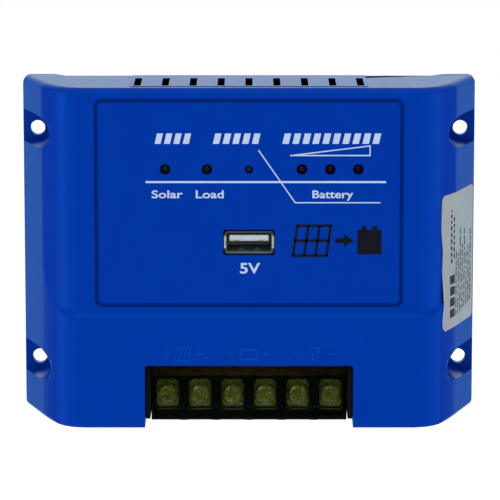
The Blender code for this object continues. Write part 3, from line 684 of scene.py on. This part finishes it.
def add_stroke(bm, points, width, levels=PRINT):
    """A line of print through (x, z) points, mitred at its bends."""
    half = width / 2
    left, right = [], []
    for i, (x, z) in enumerate(points):
        before = Vector(points[max(i - 1, 0)])
        after = Vector(points[min(i + 1, len(points) - 1)])
        here = Vector((x, z))
        ways = [w.normalized() for w in (here - before, after - here) if w.length > 1e-9]
        way = sum(ways, Vector((0.0, 0.0))).normalized()
        across = Vector((-way.y, way.x)) * half / max(0.3, way.dot(ways[0]))
        left.append(tuple(here + across))
        right.append(tuple(here - across))
    add_prism(bm, left + right[::-1], *levels)


def add_patch(bm, x_low, x_high, z_low, z_high, slant=0.0, levels=PRINT):
    corners = [(x_low, z_low), (x_high, z_low), (x_high + slant, z_high), (x_low + slant, z_high)]
    add_prism(bm, corners, *levels)


def add_title(bm):
    """Three groups of slanted blocks where the title stands."""
    low, high, slant, fill = 33.4, 36.4, 0.7, 0.64
    for x_low, x_high, count in ((-26.9, -15.5, 4), (-10.3, 4.3, 5), (9.5, 38.7, 10)):
        pitch = (x_high - slant - x_low) / count
        for i in range(count):
            x = x_low + pitch * i
            add_patch(bm, x, x + pitch * fill, low, high, slant)


def add_lines(bm):
    add_stroke(bm, [(-29.5, 22.4), (39.1, 22.4)], 0.58)
    add_stroke(bm, [(2.7, 31.6), (13.2, 16.45), (37.5, 16.45)], 0.34, (PRINT[0], PRINT[1] + 0.01))
    add_stroke(bm, [(11.7, 30.0), (34.5, 32.8), (34.5, 30.15)], 0.34)
    add_stroke(bm, [(12.4, 30.05), (34.67, 30.05)], 0.36, (PRINT[0], PRINT[1] + 0.008))


def caption(name, words, x_low, x_high, z_low, cap_height):
    """A raised generic caption, fitted to its place."""
    curve = bpy.data.curves.new(name, "FONT")
    curve.body = words
    curve.size = 1.0
    curve.offset = 0.02
    curve.extrude = 0.5
    curve.resolution_u = 4
    holder = add_object(name + "_text", curve)
    bpy.context.view_layer.update()
    graph = bpy.context.evaluated_depsgraph_get()
    mesh = bpy.data.meshes.new_from_object(holder.evaluated_get(graph))
    bpy.data.objects.remove(holder)
    xs = [v.co.x for v in mesh.vertices]
    capital = 0.73  # height of a capital letter in the built-in face, with the bold offset
    left = min(xs)
    across = (x_high - x_low) / (max(xs) - left)
    up = cap_height / capital
    for v in mesh.vertices:
        v.co = point(x_low + (v.co.x - left) * across, PRINT[0] if v.co.z < 0 else PRINT[1],
                     z_low + v.co.y * up)
    bm = bmesh.new()
    bm.from_mesh(mesh)
    bmesh.ops.remove_doubles(bm, verts=bm.verts, dist=0.00001)
    bmesh.ops.recalc_face_normals(bm, faces=bm.faces)
    bm.to_mesh(mesh)
    bm.free()
    finish_piece(add_object(name, mesh), "case", "label_film", look="print", angle=30, weighted=False)


def add_pictogram(bm):
    """A generic picture beside the socket: a panel, an arrow and a battery."""
    low, high, line = 1.1, 9.8, 0.75
    x, width, slant = 12.6, 9.6, 1.2
    for i in range(4):
        px = x + width * i / 3
        add_stroke(bm, [(px, low), (px + slant, high)], line)
    for i in range(3):
        z = low + (high - low) * i / 2
        lean = slant * i / 2
        add_stroke(bm, [(x + lean - line / 2, z), (x + width + lean + line / 2, z)], line)
    centre, shaft, head = (low + high) / 2, 0.7, 1.9
    tail, neck, tip = 24.7, 27.2, 30.0
    lower = [(tail, centre - shaft), (neck, centre - shaft), (neck, centre - head)]
    upper = [(tip, centre), (neck, centre + head), (neck, centre + shaft), (tail, centre + shaft)]
    add_prism(bm, lower + upper, *PRINT)
    add_patch(bm, 31.0, 37.9, low + 0.4, high - 1.2)
    for pole_low, pole_high in ((32.2, 33.6), (35.3, 36.7)):
        add_patch(bm, pole_low, pole_high, high - 1.3, high - 0.1)


def make_print():
    for name, build, look in (("print_title", add_title, "print"), ("print_lines", add_lines, "print"),
                              ("print_pictogram", add_pictogram, "print_black")):
        finish_piece(mesh_object(name, build), "case", "label_film", look=look, weighted=False)
    row, height = 17.8, 2.3
    caption("caption_solar", "Solar", -27.8, -18.9, row, height)
    caption("caption_load", "Load", -15.2, -7.2, row, height)
    caption("caption_battery", "Battery", 18.1, 29.8, row, height)
    caption("caption_socket", "5V", -2.6, 3.2, -4.0, 3.1)


# ---- relief, vents, sticker

def add_relief(bm):
    """Raised symbols over the terminals: plus and minus signs, a panel, a battery and a lamp."""
    z, line, arm = -27.4, 0.4, 1.15
    levels = (DEPTH - 0.1, DEPTH + 0.14)
    for centre in (-19.0, 0.0, 19.0):
        for x, upright in ((centre - 4.75, True), (centre + 4.75, False)):
            add_stroke(bm, [(x - arm, z), (x + arm, z)], line, levels)
            if upright:
                add_stroke(bm, [(x, z - arm), (x, z + arm)], line, levels)
    lean = 0.45
    for i in range(4):
        x = -21.0 + 1.3 * i
        add_stroke(bm, [(x - lean, z - 1.9), (x + lean, z + 1.9)], line * 0.7, levels)
    for side in (-1, 1):
        x = -19.05 + lean * side
        add_stroke(bm, [(x - 2.1, z + 1.9 * side), (x + 2.1, z + 1.9 * side)], line, levels)
    box = ((-2.5, -1.5), (-2.5, 1.2), (2.5, 1.2), (2.5, -1.5), (-2.5, -1.5))
    for (x0, z0), (x1, z1) in zip(box, box[1:]):
        add_stroke(bm, [(x0, z + z0), (x1, z + z1)], line, levels)
    for x in (-1.5, 1.5):
        add_patch(bm, x - 0.5, x + 0.5, z + 1.3, z + 1.7, 0.0, levels)
    lamp = [(19.0 + 1.15 * math.cos(t), z + 0.75 + 1.1 * math.sin(t))
            for t in (math.radians(-50 + 280 * i / 10) for i in range(11))]
    add_stroke(bm, lamp + [(18.45, z - 1.7), (19.55, z - 1.7), lamp[0]], line * 0.8, levels)


def add_vent_baffle(bm):
    """A comb under the vents: a floor, and a rib between each slot and the next. It glows bright blue:
    painted light inside the vents, standing in for light that scatters through the blue plastic.
    """
    low, floor, top = HALF_HEIGHT - 4.4, HALF_HEIGHT - 3.8, HALF_HEIGHT - WALL - 0.2
    side = VENT_WIDTH / 2 + 0.15
    reach = VENT_PITCH * VENT_COUNT / 2
    outline = [(-reach, low), (-reach, top)]
    for i in range(VENT_COUNT):
        x = vent_x(i)
        outline += [(x - side, top), (x - side, floor), (x + side, floor), (x + side, top)]
    add_prism(bm, outline + [(reach, top), (reach, low)], VENT_OUT[0] - 1.0, VENT_OUT[1] + 1.0)


STICKER_Z = (-22.0, 17.5)
STICKER_REAR = 4.6
STICKER_LIFT = 0.13


def entry_at(run):
    """The profile entry at a distance along the surface from the foot."""
    for first, second in zip(PROFILE, PROFILE[1:]):
        if run <= second[3]:
            share = (run - first[3]) / (second[3] - first[3])
            return tuple(a + (b - a) * share for a, b in zip(first, second))
    return PROFILE[-1]


def sticker_front(z):
    """Where the sticker's slightly uneven front edge lies, along the profile."""
    upper, lower, foot = smooth(z, 0.0, 7.0), smooth(-z, -2.0, 12.0), 1.0 - smooth(z, -19.0, -14.0)
    return 32.6 + 0.9 * upper + 0.5 * lower + 0.9 * foot


def sticker_point(run, z, lift):
    """A place on the sticker, which bridges the hollow over the step instead of following it."""
    x, out, slope, _ = entry_at(run)
    across, reach = HALF_RUN - run, 9
    bridge = sum(step_depth(across, z - d) for d in range(reach)) / reach
    curl = 0.05 * smooth(run, 28.0, 33.0) * (1.0 + math.sin(z * 0.5))
    under = min(step_depth(across, z), bridge) - lift - curl
    return point(x - math.sin(slope) * under, out - math.cos(slope) * under, z)


def add_sticker(bm):
    radius, low, high = 2.0, *STICKER_Z
    turns = [radius * (1 - math.cos(math.pi / 2 * i / 6)) for i in range(7)]
    straight = [low + radius + (high - low - 2 * radius) * i / 40 for i in range(1, 40)]
    levels = [low + turn for turn in turns] + straight + [high - turn for turn in turns[::-1]]
    rings = []
    for z in levels:
        near = max(0.0, radius - min(z - low, high - z))
        pull = radius - math.sqrt(max(0.0, radius * radius - near * near))
        rear, front = STICKER_REAR + pull, sticker_front(z) - pull
        runs = [rear + (front - rear) * i / 30 for i in range(31)]
        rings.append([sticker_point(run, z, STICKER_LIFT) for run in runs]
                     + [sticker_point(run, z, 0.03) for run in reversed(runs)])
    add_loft(bm, rings)


def add_sticker_bar(bm, run_low, run_high, z_low, z_high):
    steps = max(1, round((z_high - z_low) / 1.5))
    parts = max(1, round(run_high - run_low))
    runs = [run_low + (run_high - run_low) * i / parts for i in range(parts + 1)]
    corners = [(run, 0.02) for run in runs] + [(run, 0.04) for run in reversed(runs)]
    add_loft(bm, [[sticker_point(run, z_low + (z_high - z_low) * i / steps, STICKER_LIFT - 0.01 + lift)
                   for run, lift in corners] for i in range(steps + 1)])


def add_sticker_words(bm, chance, run, height, z_low, z_high, shortest, longest):
    z = z_low
    while z < z_high:
        length = min(chance.uniform(shortest, longest), z_high - z)
        if length > 0.4:
            add_sticker_bar(bm, run, run + height, z, z + length)
        z += length + height * 0.7


def add_sticker_print(bm):
    """Bars that stand for the rating text: none of it can be read."""
    chance, foot = random.Random(5), -18.9
    for i in range(4):
        add_sticker_bar(bm, 24.0, 28.2, foot + 3.3 * i, -16.4 + 3.3 * i)
    for run, low, high in ((26.3, -2.8, 12.7), (24.3, -1.6, 11.0)):
        add_sticker_words(bm, chance, run, 1.0, low, high, 0.9, 1.3)
    for i in range(8):
        end = chance.uniform(-2.0, 7.0)
        add_sticker_words(bm, chance, 22.3 - 2.2 * i, 0.8, foot + 0.3 * i, end, 1.0, 3.4)


def make_sticker():
    finish_piece(mesh_object("rating_sticker", add_sticker), "case", "sticker_film", "rating_label", angle=40)
    finish_piece(mesh_object("rating_print", add_sticker_print), "case", "sticker_film",
                 look="sticker_print", weighted=False)


# ---- terminals and their cover

BLOCK_LOW, BLOCK_HIGH = span("terminal_block")
SCREW_Z = middle("terminal_screw_1")[2]
HEAD_TOP = span("terminal_screw_1")[1][1]
HEAD_LOW = HEAD_TOP - 2.4
SHANK_END = span("terminal_screw_1")[0][1]
SCREW_TURNS = (20, 65, 110, 35, 80, 140)
BLOCK_BASE = 20.0
RIB_HALF, END_RIB_INNER, END_RIB_TOP = 1.2, 27.3, 24.7


def terminal_x(i):
    return middle(f"terminal_screw_{i}")[0]


def add_terminal_block(bm):
    edge, top, bottom = BLOCK_HIGH[0], BLOCK_HIGH[1], BLOCK_LOW[1]
    inner = END_RIB_INNER
    outline = [(-edge, bottom), (-edge, END_RIB_TOP), (-inner, END_RIB_TOP), (-inner, BLOCK_BASE)]
    for i in TERMINALS[:-1]:
        x = (terminal_x(i) + terminal_x(i + 1)) / 2
        left, right = x - RIB_HALF, x + RIB_HALF
        outline += [(left, BLOCK_BASE), (left, top), (right, top), (right, BLOCK_BASE)]
    outline += [(inner, BLOCK_BASE), (inner, END_RIB_TOP), (edge, END_RIB_TOP), (edge, bottom)]
    add_column(bm, round_corners(outline, 0.35), BLOCK_LOW[2], BLOCK_HIGH[2])


def add_wire_wall(bm):
    """The block's front wall below the clamps. The wires come up behind it."""
    low, back, front = BLOCK_LOW[2], BLOCK_HIGH[1] - 1.0, BLOCK_HIGH[1] - 0.15
    half_x = BLOCK_HIGH[0] - 0.05
    add_bar(bm, box_outline(back, front, low + 0.02, low + 3.1, 0.25), -half_x, half_x)


def add_drip_grooves(bm):
    """A narrow curved groove under each wire."""
    steps, half_x, sag = 12, 2.9, 0.9
    turns = [math.radians(205 + 130 * k / steps) for k in range(steps + 1)]
    for i in TERMINALS:
        upper, lower = [[(terminal_x(i) + half_x * math.cos(t), z + sag * math.sin(t)) for t in turns]
                        for z in (BLOCK_LOW[2] + 1.75, BLOCK_LOW[2] + 1.5)]
        add_prism(bm, upper + lower[::-1], BLOCK_HIGH[1] - 0.65, BLOCK_HIGH[1] + 1.0)


def add_end_frames(bm):
    """Black cheeks that fill the gap between the block and the case."""
    inner, outer = BLOCK_HIGH[0] + 0.12, NOTCH_X - 0.12
    low, high, front = BLOCK_LOW[2] + 1.7, NOTCH_TOP - 0.25, DEPTH - 3.5
    cheek = box_outline(NOTCH_OUT + 1.0, front, low, high, 0.5)
    tie = box_outline(NOTCH_OUT + 1.5, 18.0, low + 1.0, -37.4)
    for side in (-1, 1):
        add_bar(bm, cheek, *sorted((side * inner, side * outer)))
        add_bar(bm, tie, *sorted((side * (inner - 0.4), side * (inner + 0.3))))


def make_terminal_block():
    block = mesh_object("terminal_body", add_terminal_block)

    def add_bores(bm):
        bore = [(2.15, SHANK_END - 1.0), (2.15, BLOCK_BASE - 0.3), (2.6, BLOCK_BASE + 1.0)]
        for i in TERMINALS:
            x = terminal_x(i)
            add_turned(bm, x, SCREW_Z, bore, 32)
            add_box(bm, (x - 1.6, 0.0, -39.1), (x + 1.6, BLOCK_BASE + 1.0, -37.7))

    carve(block, add_bores)
    carve(block, add_wire_wall, add_end_frames, operation="UNION")
    carve(block, add_drip_grooves)
    finish_piece(block, "case", "black_plastic", "terminal_block")


def add_wing(bm, x, z, turn, half_length, half_width, deep, shallow, taper):
    """One bar of a cross recess, narrowing from the level 'shallow' down to 'deep'."""
    along, side = (math.cos(turn), math.sin(turn)), (-math.sin(turn), math.cos(turn))
    rings = []
    for out, share in ((deep, taper), (shallow, 1.0)):
        rings.append([point(x + along[0] * a * half_length * share + side[0] * b * half_width * share, out,
                            z + along[1] * a * half_length * share + side[1] * b * half_width * share)
                      for a, b in ((-1, -1), (1, -1), (1, 1), (-1, 1))])
    add_loft(bm, rings)


def cross_cutters(x, z, turn, half_length, half_width, deep, shallow, taper, offset):
    """Two crossed bars. The second one's tip is offset, so that no two faces coincide."""
    return [lambda bm, step=step: add_wing(bm, x, z, turn + math.pi / 2 * step, half_length, half_width,
                                           deep + offset * step, shallow, taper) for step in (0, 1)]


def thread(start, pitch, count, crest, root):
    """Profile points of a thread, drawn as rings."""
    return [(radius, start + pitch * (k + share))
            for k in range(count) for radius, share in ((crest, 0.5), (root, 1.0))]


def make_terminal_screw(i):
    x = terminal_x(i)
    turn = math.radians(SCREW_TURNS[i - 1])
    start, threads = SHANK_END + 0.4, 11
    profile = [(1.0, SHANK_END), (1.5, start)]
    profile += thread(start, (HEAD_LOW - 0.6 - start) / threads, threads, 1.75, 1.5)
    profile += [(1.75, HEAD_LOW - 0.3), (1.75, HEAD_LOW), (2.8, HEAD_LOW), (2.9, HEAD_LOW + 0.12),
                (2.9, HEAD_TOP - 0.75)]
    for k in range(1, 7):
        t = math.pi / 2 * k / 6
        profile.append((1.7 + 1.2 * math.cos(t), HEAD_TOP - 0.75 + 0.7 * math.sin(t)))
    screw = mesh_object(f"screw_fine_{i}", lambda bm: add_turned(bm, x, SCREW_Z, profile))
    cutters = cross_cutters(x, SCREW_Z, turn, 1.95, 0.5, HEAD_TOP - 1.45, HEAD_TOP + 0.3, 0.5, -0.05)
    cutters.append(lambda bm: add_wing(bm, x, SCREW_Z, turn, 4.0, 0.36, HEAD_TOP - 0.65, HEAD_TOP + 1.0, 0.9))
    carve(screw, *cutters)
    finish_piece(screw, f"screw_{i}", "zinc_steel", f"terminal_screw_{i}")


def make_clamp_plate(i):
    x = terminal_x(i)
    (x_low, out_low, z_low), (x_high, out_high, z_high) = span(f"clamp_plate_{i}")

    def outline(margin):
        return rectangle(x_low - margin, x_high + margin, z_low - margin, z_high + margin, 1.5 + margin)

    levels = [(out_low, -0.08), (out_low + 0.1, 0.0), (out_high - 0.16, 0.0), (out_high - 0.05, -0.06),
              (out_high, -0.18)]
    seat = [(3.0, out_high - 0.5), (3.3, out_high - 0.4), (3.35, out_high + 0.01), (3.35, FAR)]
    plate = mesh_object(f"clamp_fine_{i}", lambda bm: add_levels(bm, outline, levels))
    carve(plate, lambda bm: add_cylinder(bm, x, SCREW_Z, 2.05, 0.0, FAR),
          lambda bm: add_turned(bm, x, SCREW_Z, seat))
    finish_piece(plate, f"clamp_{i}", "zinc_steel", f"clamp_plate_{i}")


def make_contact(i):
    """The brass strip under a clamp plate, with its leg down to the board."""
    x = terminal_x(i)
    (_, leg, _), (_, top, _) = span(f"terminal_contact_{i}")
    half, low, high = 2.7, -45.6, -37.95

    def outline(margin):
        return rectangle(x - half - margin, x + half + margin, low - margin, high + margin, 0.6)

    levels = [(top - 0.8, -0.05), (top - 0.7, 0.0), (top - 0.1, 0.0), (top, -0.1)]
    strip = mesh_object(f"contact_fine_{i}", lambda bm: add_levels(bm, outline, levels))
    carve(strip, lambda bm: add_box(bm, (x - 1.25, leg, -38.8), (x + 1.25, top - 0.4, -38.0)),
          operation="UNION")
    carve(strip, lambda bm: add_cylinder(bm, x, SCREW_Z, 2.15, BLOCK_BASE - 1.0, FAR, 32))
    finish_piece(strip, "case", "contact_brass", f"terminal_contact_{i}")


def make_lid():
    """The smoky cover: skirt, front, step and lip in one section, closed by a cheek at each end."""
    (_, skirt, lip_z), (edge, front, top) = span("terminal_cover")
    top += 0.35  # up to the edge of the notch
    wall, lip_wall, step_z, lip_front = 0.8, 0.45, -45.3, front - 1.6
    outer = [(skirt, top), (front, top), (front, step_z), (lip_front, step_z), (lip_front, lip_z)]
    lip_back, back = lip_front - lip_wall, front - wall
    inner = [(lip_back, lip_z), (lip_back, step_z + wall), (back, step_z + wall), (back, top - wall),
             (skirt, top - wall)]
    lid = mesh_object("lid_fine", lambda bm: add_bar(bm, round_corners(outer + inner, 0.3), -edge, edge))

    def add_cheek(side):
        section = box_outline(END_RIB_TOP + 0.3, front - 0.3, step_z + 0.1, top - 0.3, 0.2)
        low, high = sorted((side * (END_RIB_INNER + 0.1), side * (edge - 0.01)))
        return lambda bm: add_bar(bm, section, low, high)

    carve(lid, add_cheek(-1), add_cheek(1), operation="UNION")
    finish_piece(lid, "lid", "smoky_plastic", "terminal_cover")


# ---- socket, lights, button

def make_usb():
    (_, deep, _), (edge, mouth, _) = span("usb_shell")
    half_x, half_z, sheet = edge, span("usb_shell")[1][2] - USB_Z, 0.4

    def outline(margin):
        return rectangle(-half_x - margin, half_x + margin, USB_Z - half_z - margin, USB_Z + half_z + margin,
                         max(0.3, 0.6 + margin), 5)

    shell = mesh_object("socket_shell", lambda bm: add_levels(
        bm, outline, [(deep, 0.0), (mouth - 0.7, 0.0), (mouth - 0.25, 0.12), (mouth, 0.34)]))
    carve(shell, lambda bm: add_levels(
        bm, outline, [(deep - 5.0, -sheet), (mouth - 0.9, -sheet), (mouth - 0.4, -sheet + 0.08),
                      (mouth, 0.12), (mouth + 0.3, 0.4)]))

    def add_springs(bm):
        """Two leaf springs bent into the bore from below."""
        floor = USB_Z - half_z + sheet
        spring = round_corners([(mouth - 8.0, floor - 0.2), (mouth - 2.2, floor - 0.2),
                                (mouth - 2.4, floor + 0.25), (mouth - 3.4, floor + 0.55),
                                (mouth - 4.4, floor + 0.5)], 0.15)
        for x in (-2.3, 2.3):
            add_bar(bm, spring, x - 0.8, x + 0.8)

    carve(shell, add_springs, operation="UNION")
    # the shell gets the dark steel look: painted shade in the socket's bore
    finish_piece(shell, "case", "socket_steel", "usb_shell", look="shaded_socket_steel")

    def add_flares(bm):
        """The mouth's two side lips, bent outwards."""
        for side in (-1, 1):
            section = [(side * (half_x - 0.28), mouth - 0.9), (side * (half_x + 0.05), mouth - 0.9),
                       (side * (half_x + 0.5), mouth + 0.02), (side * (half_x - 0.02), mouth + 0.08)]
            add_column(bm, section, USB_Z - 1.7, USB_Z + 1.9)

    # the lips get the brighter zinc steel look instead of the socket steel: a painted highlight where they
    # catch the light
    finish_piece(mesh_object("socket_flares", add_flares), "case", "socket_steel", look="zinc_steel",
                 weighted=False)

    (_, base, floor), (inner_x, tip, high) = span("usb_insulator")
    base_top, tongue_low, tongue_high = base + 3.5, high - 0.35 - 1.8, high - 0.35

    def add_tongue(bm):
        rear, half_width = base_top - 1.0, 5.55
        section = [(rear, tongue_low), (tip - 0.5, tongue_low), (tip, tongue_low + 0.5), (tip, tongue_high),
                   (rear, tongue_high)]
        add_bar(bm, round_corners(section, 0.2), -half_width, half_width)

    core = mesh_object("socket_tongue", lambda bm: add_bar(
        bm, box_outline(base, base_top, floor, high), -inner_x, inner_x))
    carve(core, add_tongue, operation="UNION")
    finish_piece(core, "case", "white_plastic", "usb_insulator")

    def add_contacts(bm):
        for x, length in ((-3.5, 10.0), (-1.0, 9.0), (1.0, 9.0), (3.5, 10.0)):
            end, under, inside = base_top + length, tongue_low - 0.12, tongue_low + 0.1
            section = [(base_top, under), (end - 1.2, under), (end - 0.6, tongue_low - 0.3), (end, inside),
                       (base_top, inside)]
            add_bar(bm, round_corners(section, 0.1), x - 0.5, x + 0.5)

    finish_piece(mesh_object("socket_contacts", add_contacts), "case", "contact_brass", look="gold",
                 weighted=False)


def make_lights():
    for name, slot in LIGHTS.items():
        (_, legs_low, _), (_, top, _) = span(name)
        x, radius, leg = middle(name)[0], 1.2, 0.25
        rim = top - radius - 5.2 + 0.4  # the foot of the flange
        profile = [(1.55, rim), (1.7, rim + 0.15), (1.7, rim + 0.85), (1.6, rim + 1.0), (radius, rim + 1.0)]
        for i in range(11):
            t = math.pi / 2 * i / 11
            profile.append((radius * math.cos(t), top - radius + radius * math.sin(t)))

        def build(bm):
            add_turned(bm, x, LIGHT_Z, profile, 40)
            for side in (-1, 1):
                add_box(bm, (x + side - leg, legs_low, LIGHT_Z - leg),
                        (x + side + leg, rim + 0.5, LIGHT_Z + leg))

        finish_piece(mesh_object("lens" + name[3:], build), "case", slot, name)


def make_button():
    (_, low, _), (_, top, _) = span("mode_button")
    shoulder = top - 1.6
    profile = [(1.6, low), (1.7, low + 0.1), (1.7, shoulder - 0.5), (1.55, shoulder - 0.3), (0.85, shoulder),
               (0.85, top - 0.35), (0.75, top - 0.15), (0.5, top)]
    button = mesh_object("button_fine", lambda bm: add_turned(bm, 0.0, LIGHT_Z, profile, 32))
    # the darker button look is painted shade for its hole
    finish_piece(button, "button", "grey_plastic", "mode_button", look="button")


# ---- back

def make_rear_plate():
    half_x, rim_top, half_z = span("rear_plate")[1]
    thick, rim = 2.0, 1.5

    def outline(margin):
        x, z = half_x + margin, half_z + margin
        return rectangle(-x, x, -z, z, max(0.4, 1.2 + margin), 5)

    plate = mesh_object("plate_fine", lambda bm: add_levels(
        bm, outline, [(0.0, -0.4), (0.12, -0.15), (0.4, 0.0), (7.0, 0.0)]))
    carve(plate, lambda bm: add_levels(bm, outline, [(thick, -rim - 0.3), (thick + 0.3, -rim), (FAR, -rim)]))

    def add_standoffs(bm):
        add_cylinders(bm, "pcb_screw", 4, 3.25, 1.0, rim_top, 32)

    def add_holes(bm):
        add_cylinders(bm, "pcb_screw", 4, 1.6, 4.0, FAR, 24)
        for x, z in places("case_screw", 4):
            add_turned(bm, x, z, [(3.9, -0.5), (1.75, 1.65), (1.75, 5.0)])
        add_cylinders(bm, "clamp_screw", 2, 1.6, 0.8, 5.0, 24)

    carve(plate, add_standoffs, operation="UNION")
    carve(plate, add_holes)
    finish_piece(plate, "case", "plate_aluminium", "rear_plate")


def make_case_screw(i):
    x, _, z = middle(f"case_screw_{i}")
    end = span(f"case_screw_{i}")[1][1]
    profile = [(2.85, 0.1), (3.0, 0.2), (1.4, 1.7)]
    threads = 10
    profile += thread(2.0, (end - 2.4) / threads, threads, 1.4, 1.15)
    profile.append((0.5, end))
    screw = mesh_object(f"case_screw_fine_{i}", lambda bm: add_turned(bm, x, z, profile))
    turn = math.radians(37.0 * i)
    carve(screw, *cross_cutters(x, z, turn, 1.75, 0.42, 1.25, -0.4, 0.45, 0.05))
    finish_piece(screw, "case", "zinc_steel", f"case_screw_{i}")


# ---- camera, light, floor

def add_light(name, location, size, power):
    """A square soft box that shines on the origin."""
    data = bpy.data.lights.new(name, "AREA")
    data.shape = "SQUARE"
    data.size = size
    data.energy = power
    lamp = add_object(name, data)
    lamp.location = location
    lamp.rotation_euler = (-Vector(location)).to_track_quat("-Z", "Y").to_euler()
    lamp.visible_glossy = False


def make_world():
    """A white cove for the camera, an even grey for soft light, and patches of light for reflections."""
    world = bpy.data.worlds.new("studio")
    bpy.context.scene.world = world
    world.use_nodes = True
    world.cycles.sampling_method = "NONE"
    tree = world.node_tree
    background = next(n for n in tree.nodes if n.type == "BACKGROUND")
    direction = tree.nodes.new("ShaderNodeTexCoord").outputs["Generated"]

    def calculate(kind, operation, values):
        made = tree.nodes.new(kind)
        made.operation = operation
        for socket, value in zip(made.inputs, values):
            if isinstance(value, (float, tuple)):
                socket.default_value = value
            else:
                tree.links.new(value, socket)
        return made

    def maths(operation, *values):
        return calculate("ShaderNodeMath", operation, values).outputs[0]

    def vector(operation, *values):
        return calculate("ShaderNodeVectorMath", operation, values).outputs[0]

    def patch(towards, inner, outer):
        """A soft round patch of light: full inside the inner angle, gone at the outer one."""
        middle_of_patch = tuple(Vector(towards).normalized())
        dot = calculate("ShaderNodeVectorMath", "DOT_PRODUCT", (direction, middle_of_patch))
        ramp = tree.nodes.new("ShaderNodeMapRange")
        ramp.interpolation_type = "SMOOTHSTEP"
        for name, angle in (("From Min", outer), ("From Max", inner)):
            ramp.inputs[name].default_value = math.cos(math.radians(angle))
        tree.links.new(dot.outputs["Value"], ramp.inputs["Value"])
        return ramp.outputs["Result"]

    backdrop = (patch((0.0, 1.0, 0.24), 4, 22), (0.46, 0.38, 0.42))
    horizon = (patch((0.0, 1.0, 0.0), 34.5, 39.5), (0.17, 0.4, 0.46))
    ceiling = (patch((0.0, 0.3, 1.0), 20, 70), (0.3, 0.38, 0.42))
    front_top = (patch((0.0, -0.5, 0.85), 10, 42), (0.4, 1.0, 1.5))
    left = (patch((-0.99, -0.12, 0.0), 3, 27), (0.08, 0.62, 0.86))
    right = (patch((0.99, -0.05, 0.0), 3, 25), (0.06, 0.45, 0.7))
    gloss = (0.004, 0.01, 0.01)
    for amount, colour in (backdrop, horizon, ceiling, front_top, left, right):
        gloss = vector("MULTIPLY_ADD", amount, colour, gloss)
    ambient, cover_light = (0.53, 0.53, 0.53), (1.0, 1.0, 1.0)
    rays = tree.nodes.new("ShaderNodeLightPath").outputs
    through = rays["Is Transmission Ray"]
    mirrored_once = maths("MULTIPLY", through, maths("MINIMUM", rays["Glossy Depth"], 1.0))
    mirror = maths("MAXIMUM", rays["Is Glossy Ray"], mirrored_once)
    level = vector("MULTIPLY_ADD", vector("SUBTRACT", gloss, ambient), mirror, ambient)
    under_cover = maths("MULTIPLY", through, maths("MINIMUM", rays["Diffuse Depth"], 1.0))
    level = vector("MULTIPLY_ADD", under_cover, cover_light, level)
    direct = maths("LESS_THAN", maths("ADD", rays["Glossy Depth"], rays["Diffuse Depth"]), 0.5)
    seen = maths("MAXIMUM", rays["Is Camera Ray"], maths("MULTIPLY", through, direct))
    tree.links.new(vector("MAXIMUM", level, seen), background.inputs["Color"])


def make_floor():
    floor_z, reach = -0.16, 3.0
    corners = box_outline(-reach, reach, -reach, reach)
    floor = mesh_object("floor", lambda bm: add_loft(bm, [
        [Vector((x, y, z)) for x, y in corners] for z in (floor_z - 0.01, floor_z)]))
    look, _ = new_look("floor_white", (0.9, 0.9, 0.9), 0.8, Emission_Color=(1.0, 1.0, 1.0, 1.0),
                       Emission_Strength=0.5)
    floor.data.materials.append(look)
    floor.visible_glossy = False
    floor.visible_transmission = False


def make_camera():
    """Nine and a half degrees above the middle of the front, a metre away."""
    tilt, distance, rise, aside = math.radians(9.5), 1.0, 0.0029, 0.00029
    forward = Vector((0.0, math.cos(tilt), -math.sin(tilt)))
    up = Vector((0.0, math.sin(tilt), math.cos(tilt)))
    data = bpy.data.cameras.new("camera")
    data.sensor_width = 36.0
    data.lens = 251.7
    camera = add_object("camera", data)
    camera.location = Vector((aside, -DEPTH * MM, 0.0)) - forward * distance + up * rise
    camera.rotation_euler = forward.to_track_quat("-Z", "Y").to_euler()
    bpy.context.scene.camera = camera


def make_stage():
    bpy.context.scene.view_settings.view_transform = "Standard"
    make_world()
    make_floor()
    make_camera()
    add_light("key", (-0.9, -1.4, 0.9), 0.9, 9.5)
    add_light("fill", (1.2, -1.2, 0.3), 0.9, 2.0)
    add_light("left", (-1.45, -0.25, 0.3), 0.6, 7.0)
    add_light("right", (1.45, -0.25, 0.3), 0.6, 9.0)


# ---- CAD nodes kept as they are

def dress_cad_nodes():
    for part in frame["record"]["subparts"]:
        obj = NODES[part["node"]]
        obj.data.materials.clear()
        obj.data.materials.append(LOOKS[part["material_slot"]])


def main():
    make_stage()
    dress_cad_nodes()
    make_case()
    make_film()
    make_print()
    # relief_symbols: a lighter blue, a painted highlight on the symbols' edges
    for name, build, look in (("relief_symbols", add_relief, "relief"),
                              # vent_baffle: a glowing bright blue, painted light inside the vents
                              ("vent_baffle", add_vent_baffle, "deep")):
        finish_piece(mesh_object(name, build), "case", "case_plastic", look=look, weighted=False)
    make_sticker()
    make_terminal_block()
    for i in TERMINALS:
        make_terminal_screw(i)
        make_clamp_plate(i)
        make_contact(i)
    make_lid()
    make_usb()
    make_lights()
    make_button()
    make_rear_plate()
    for i in range(1, 5):
        make_case_screw(i)


main()
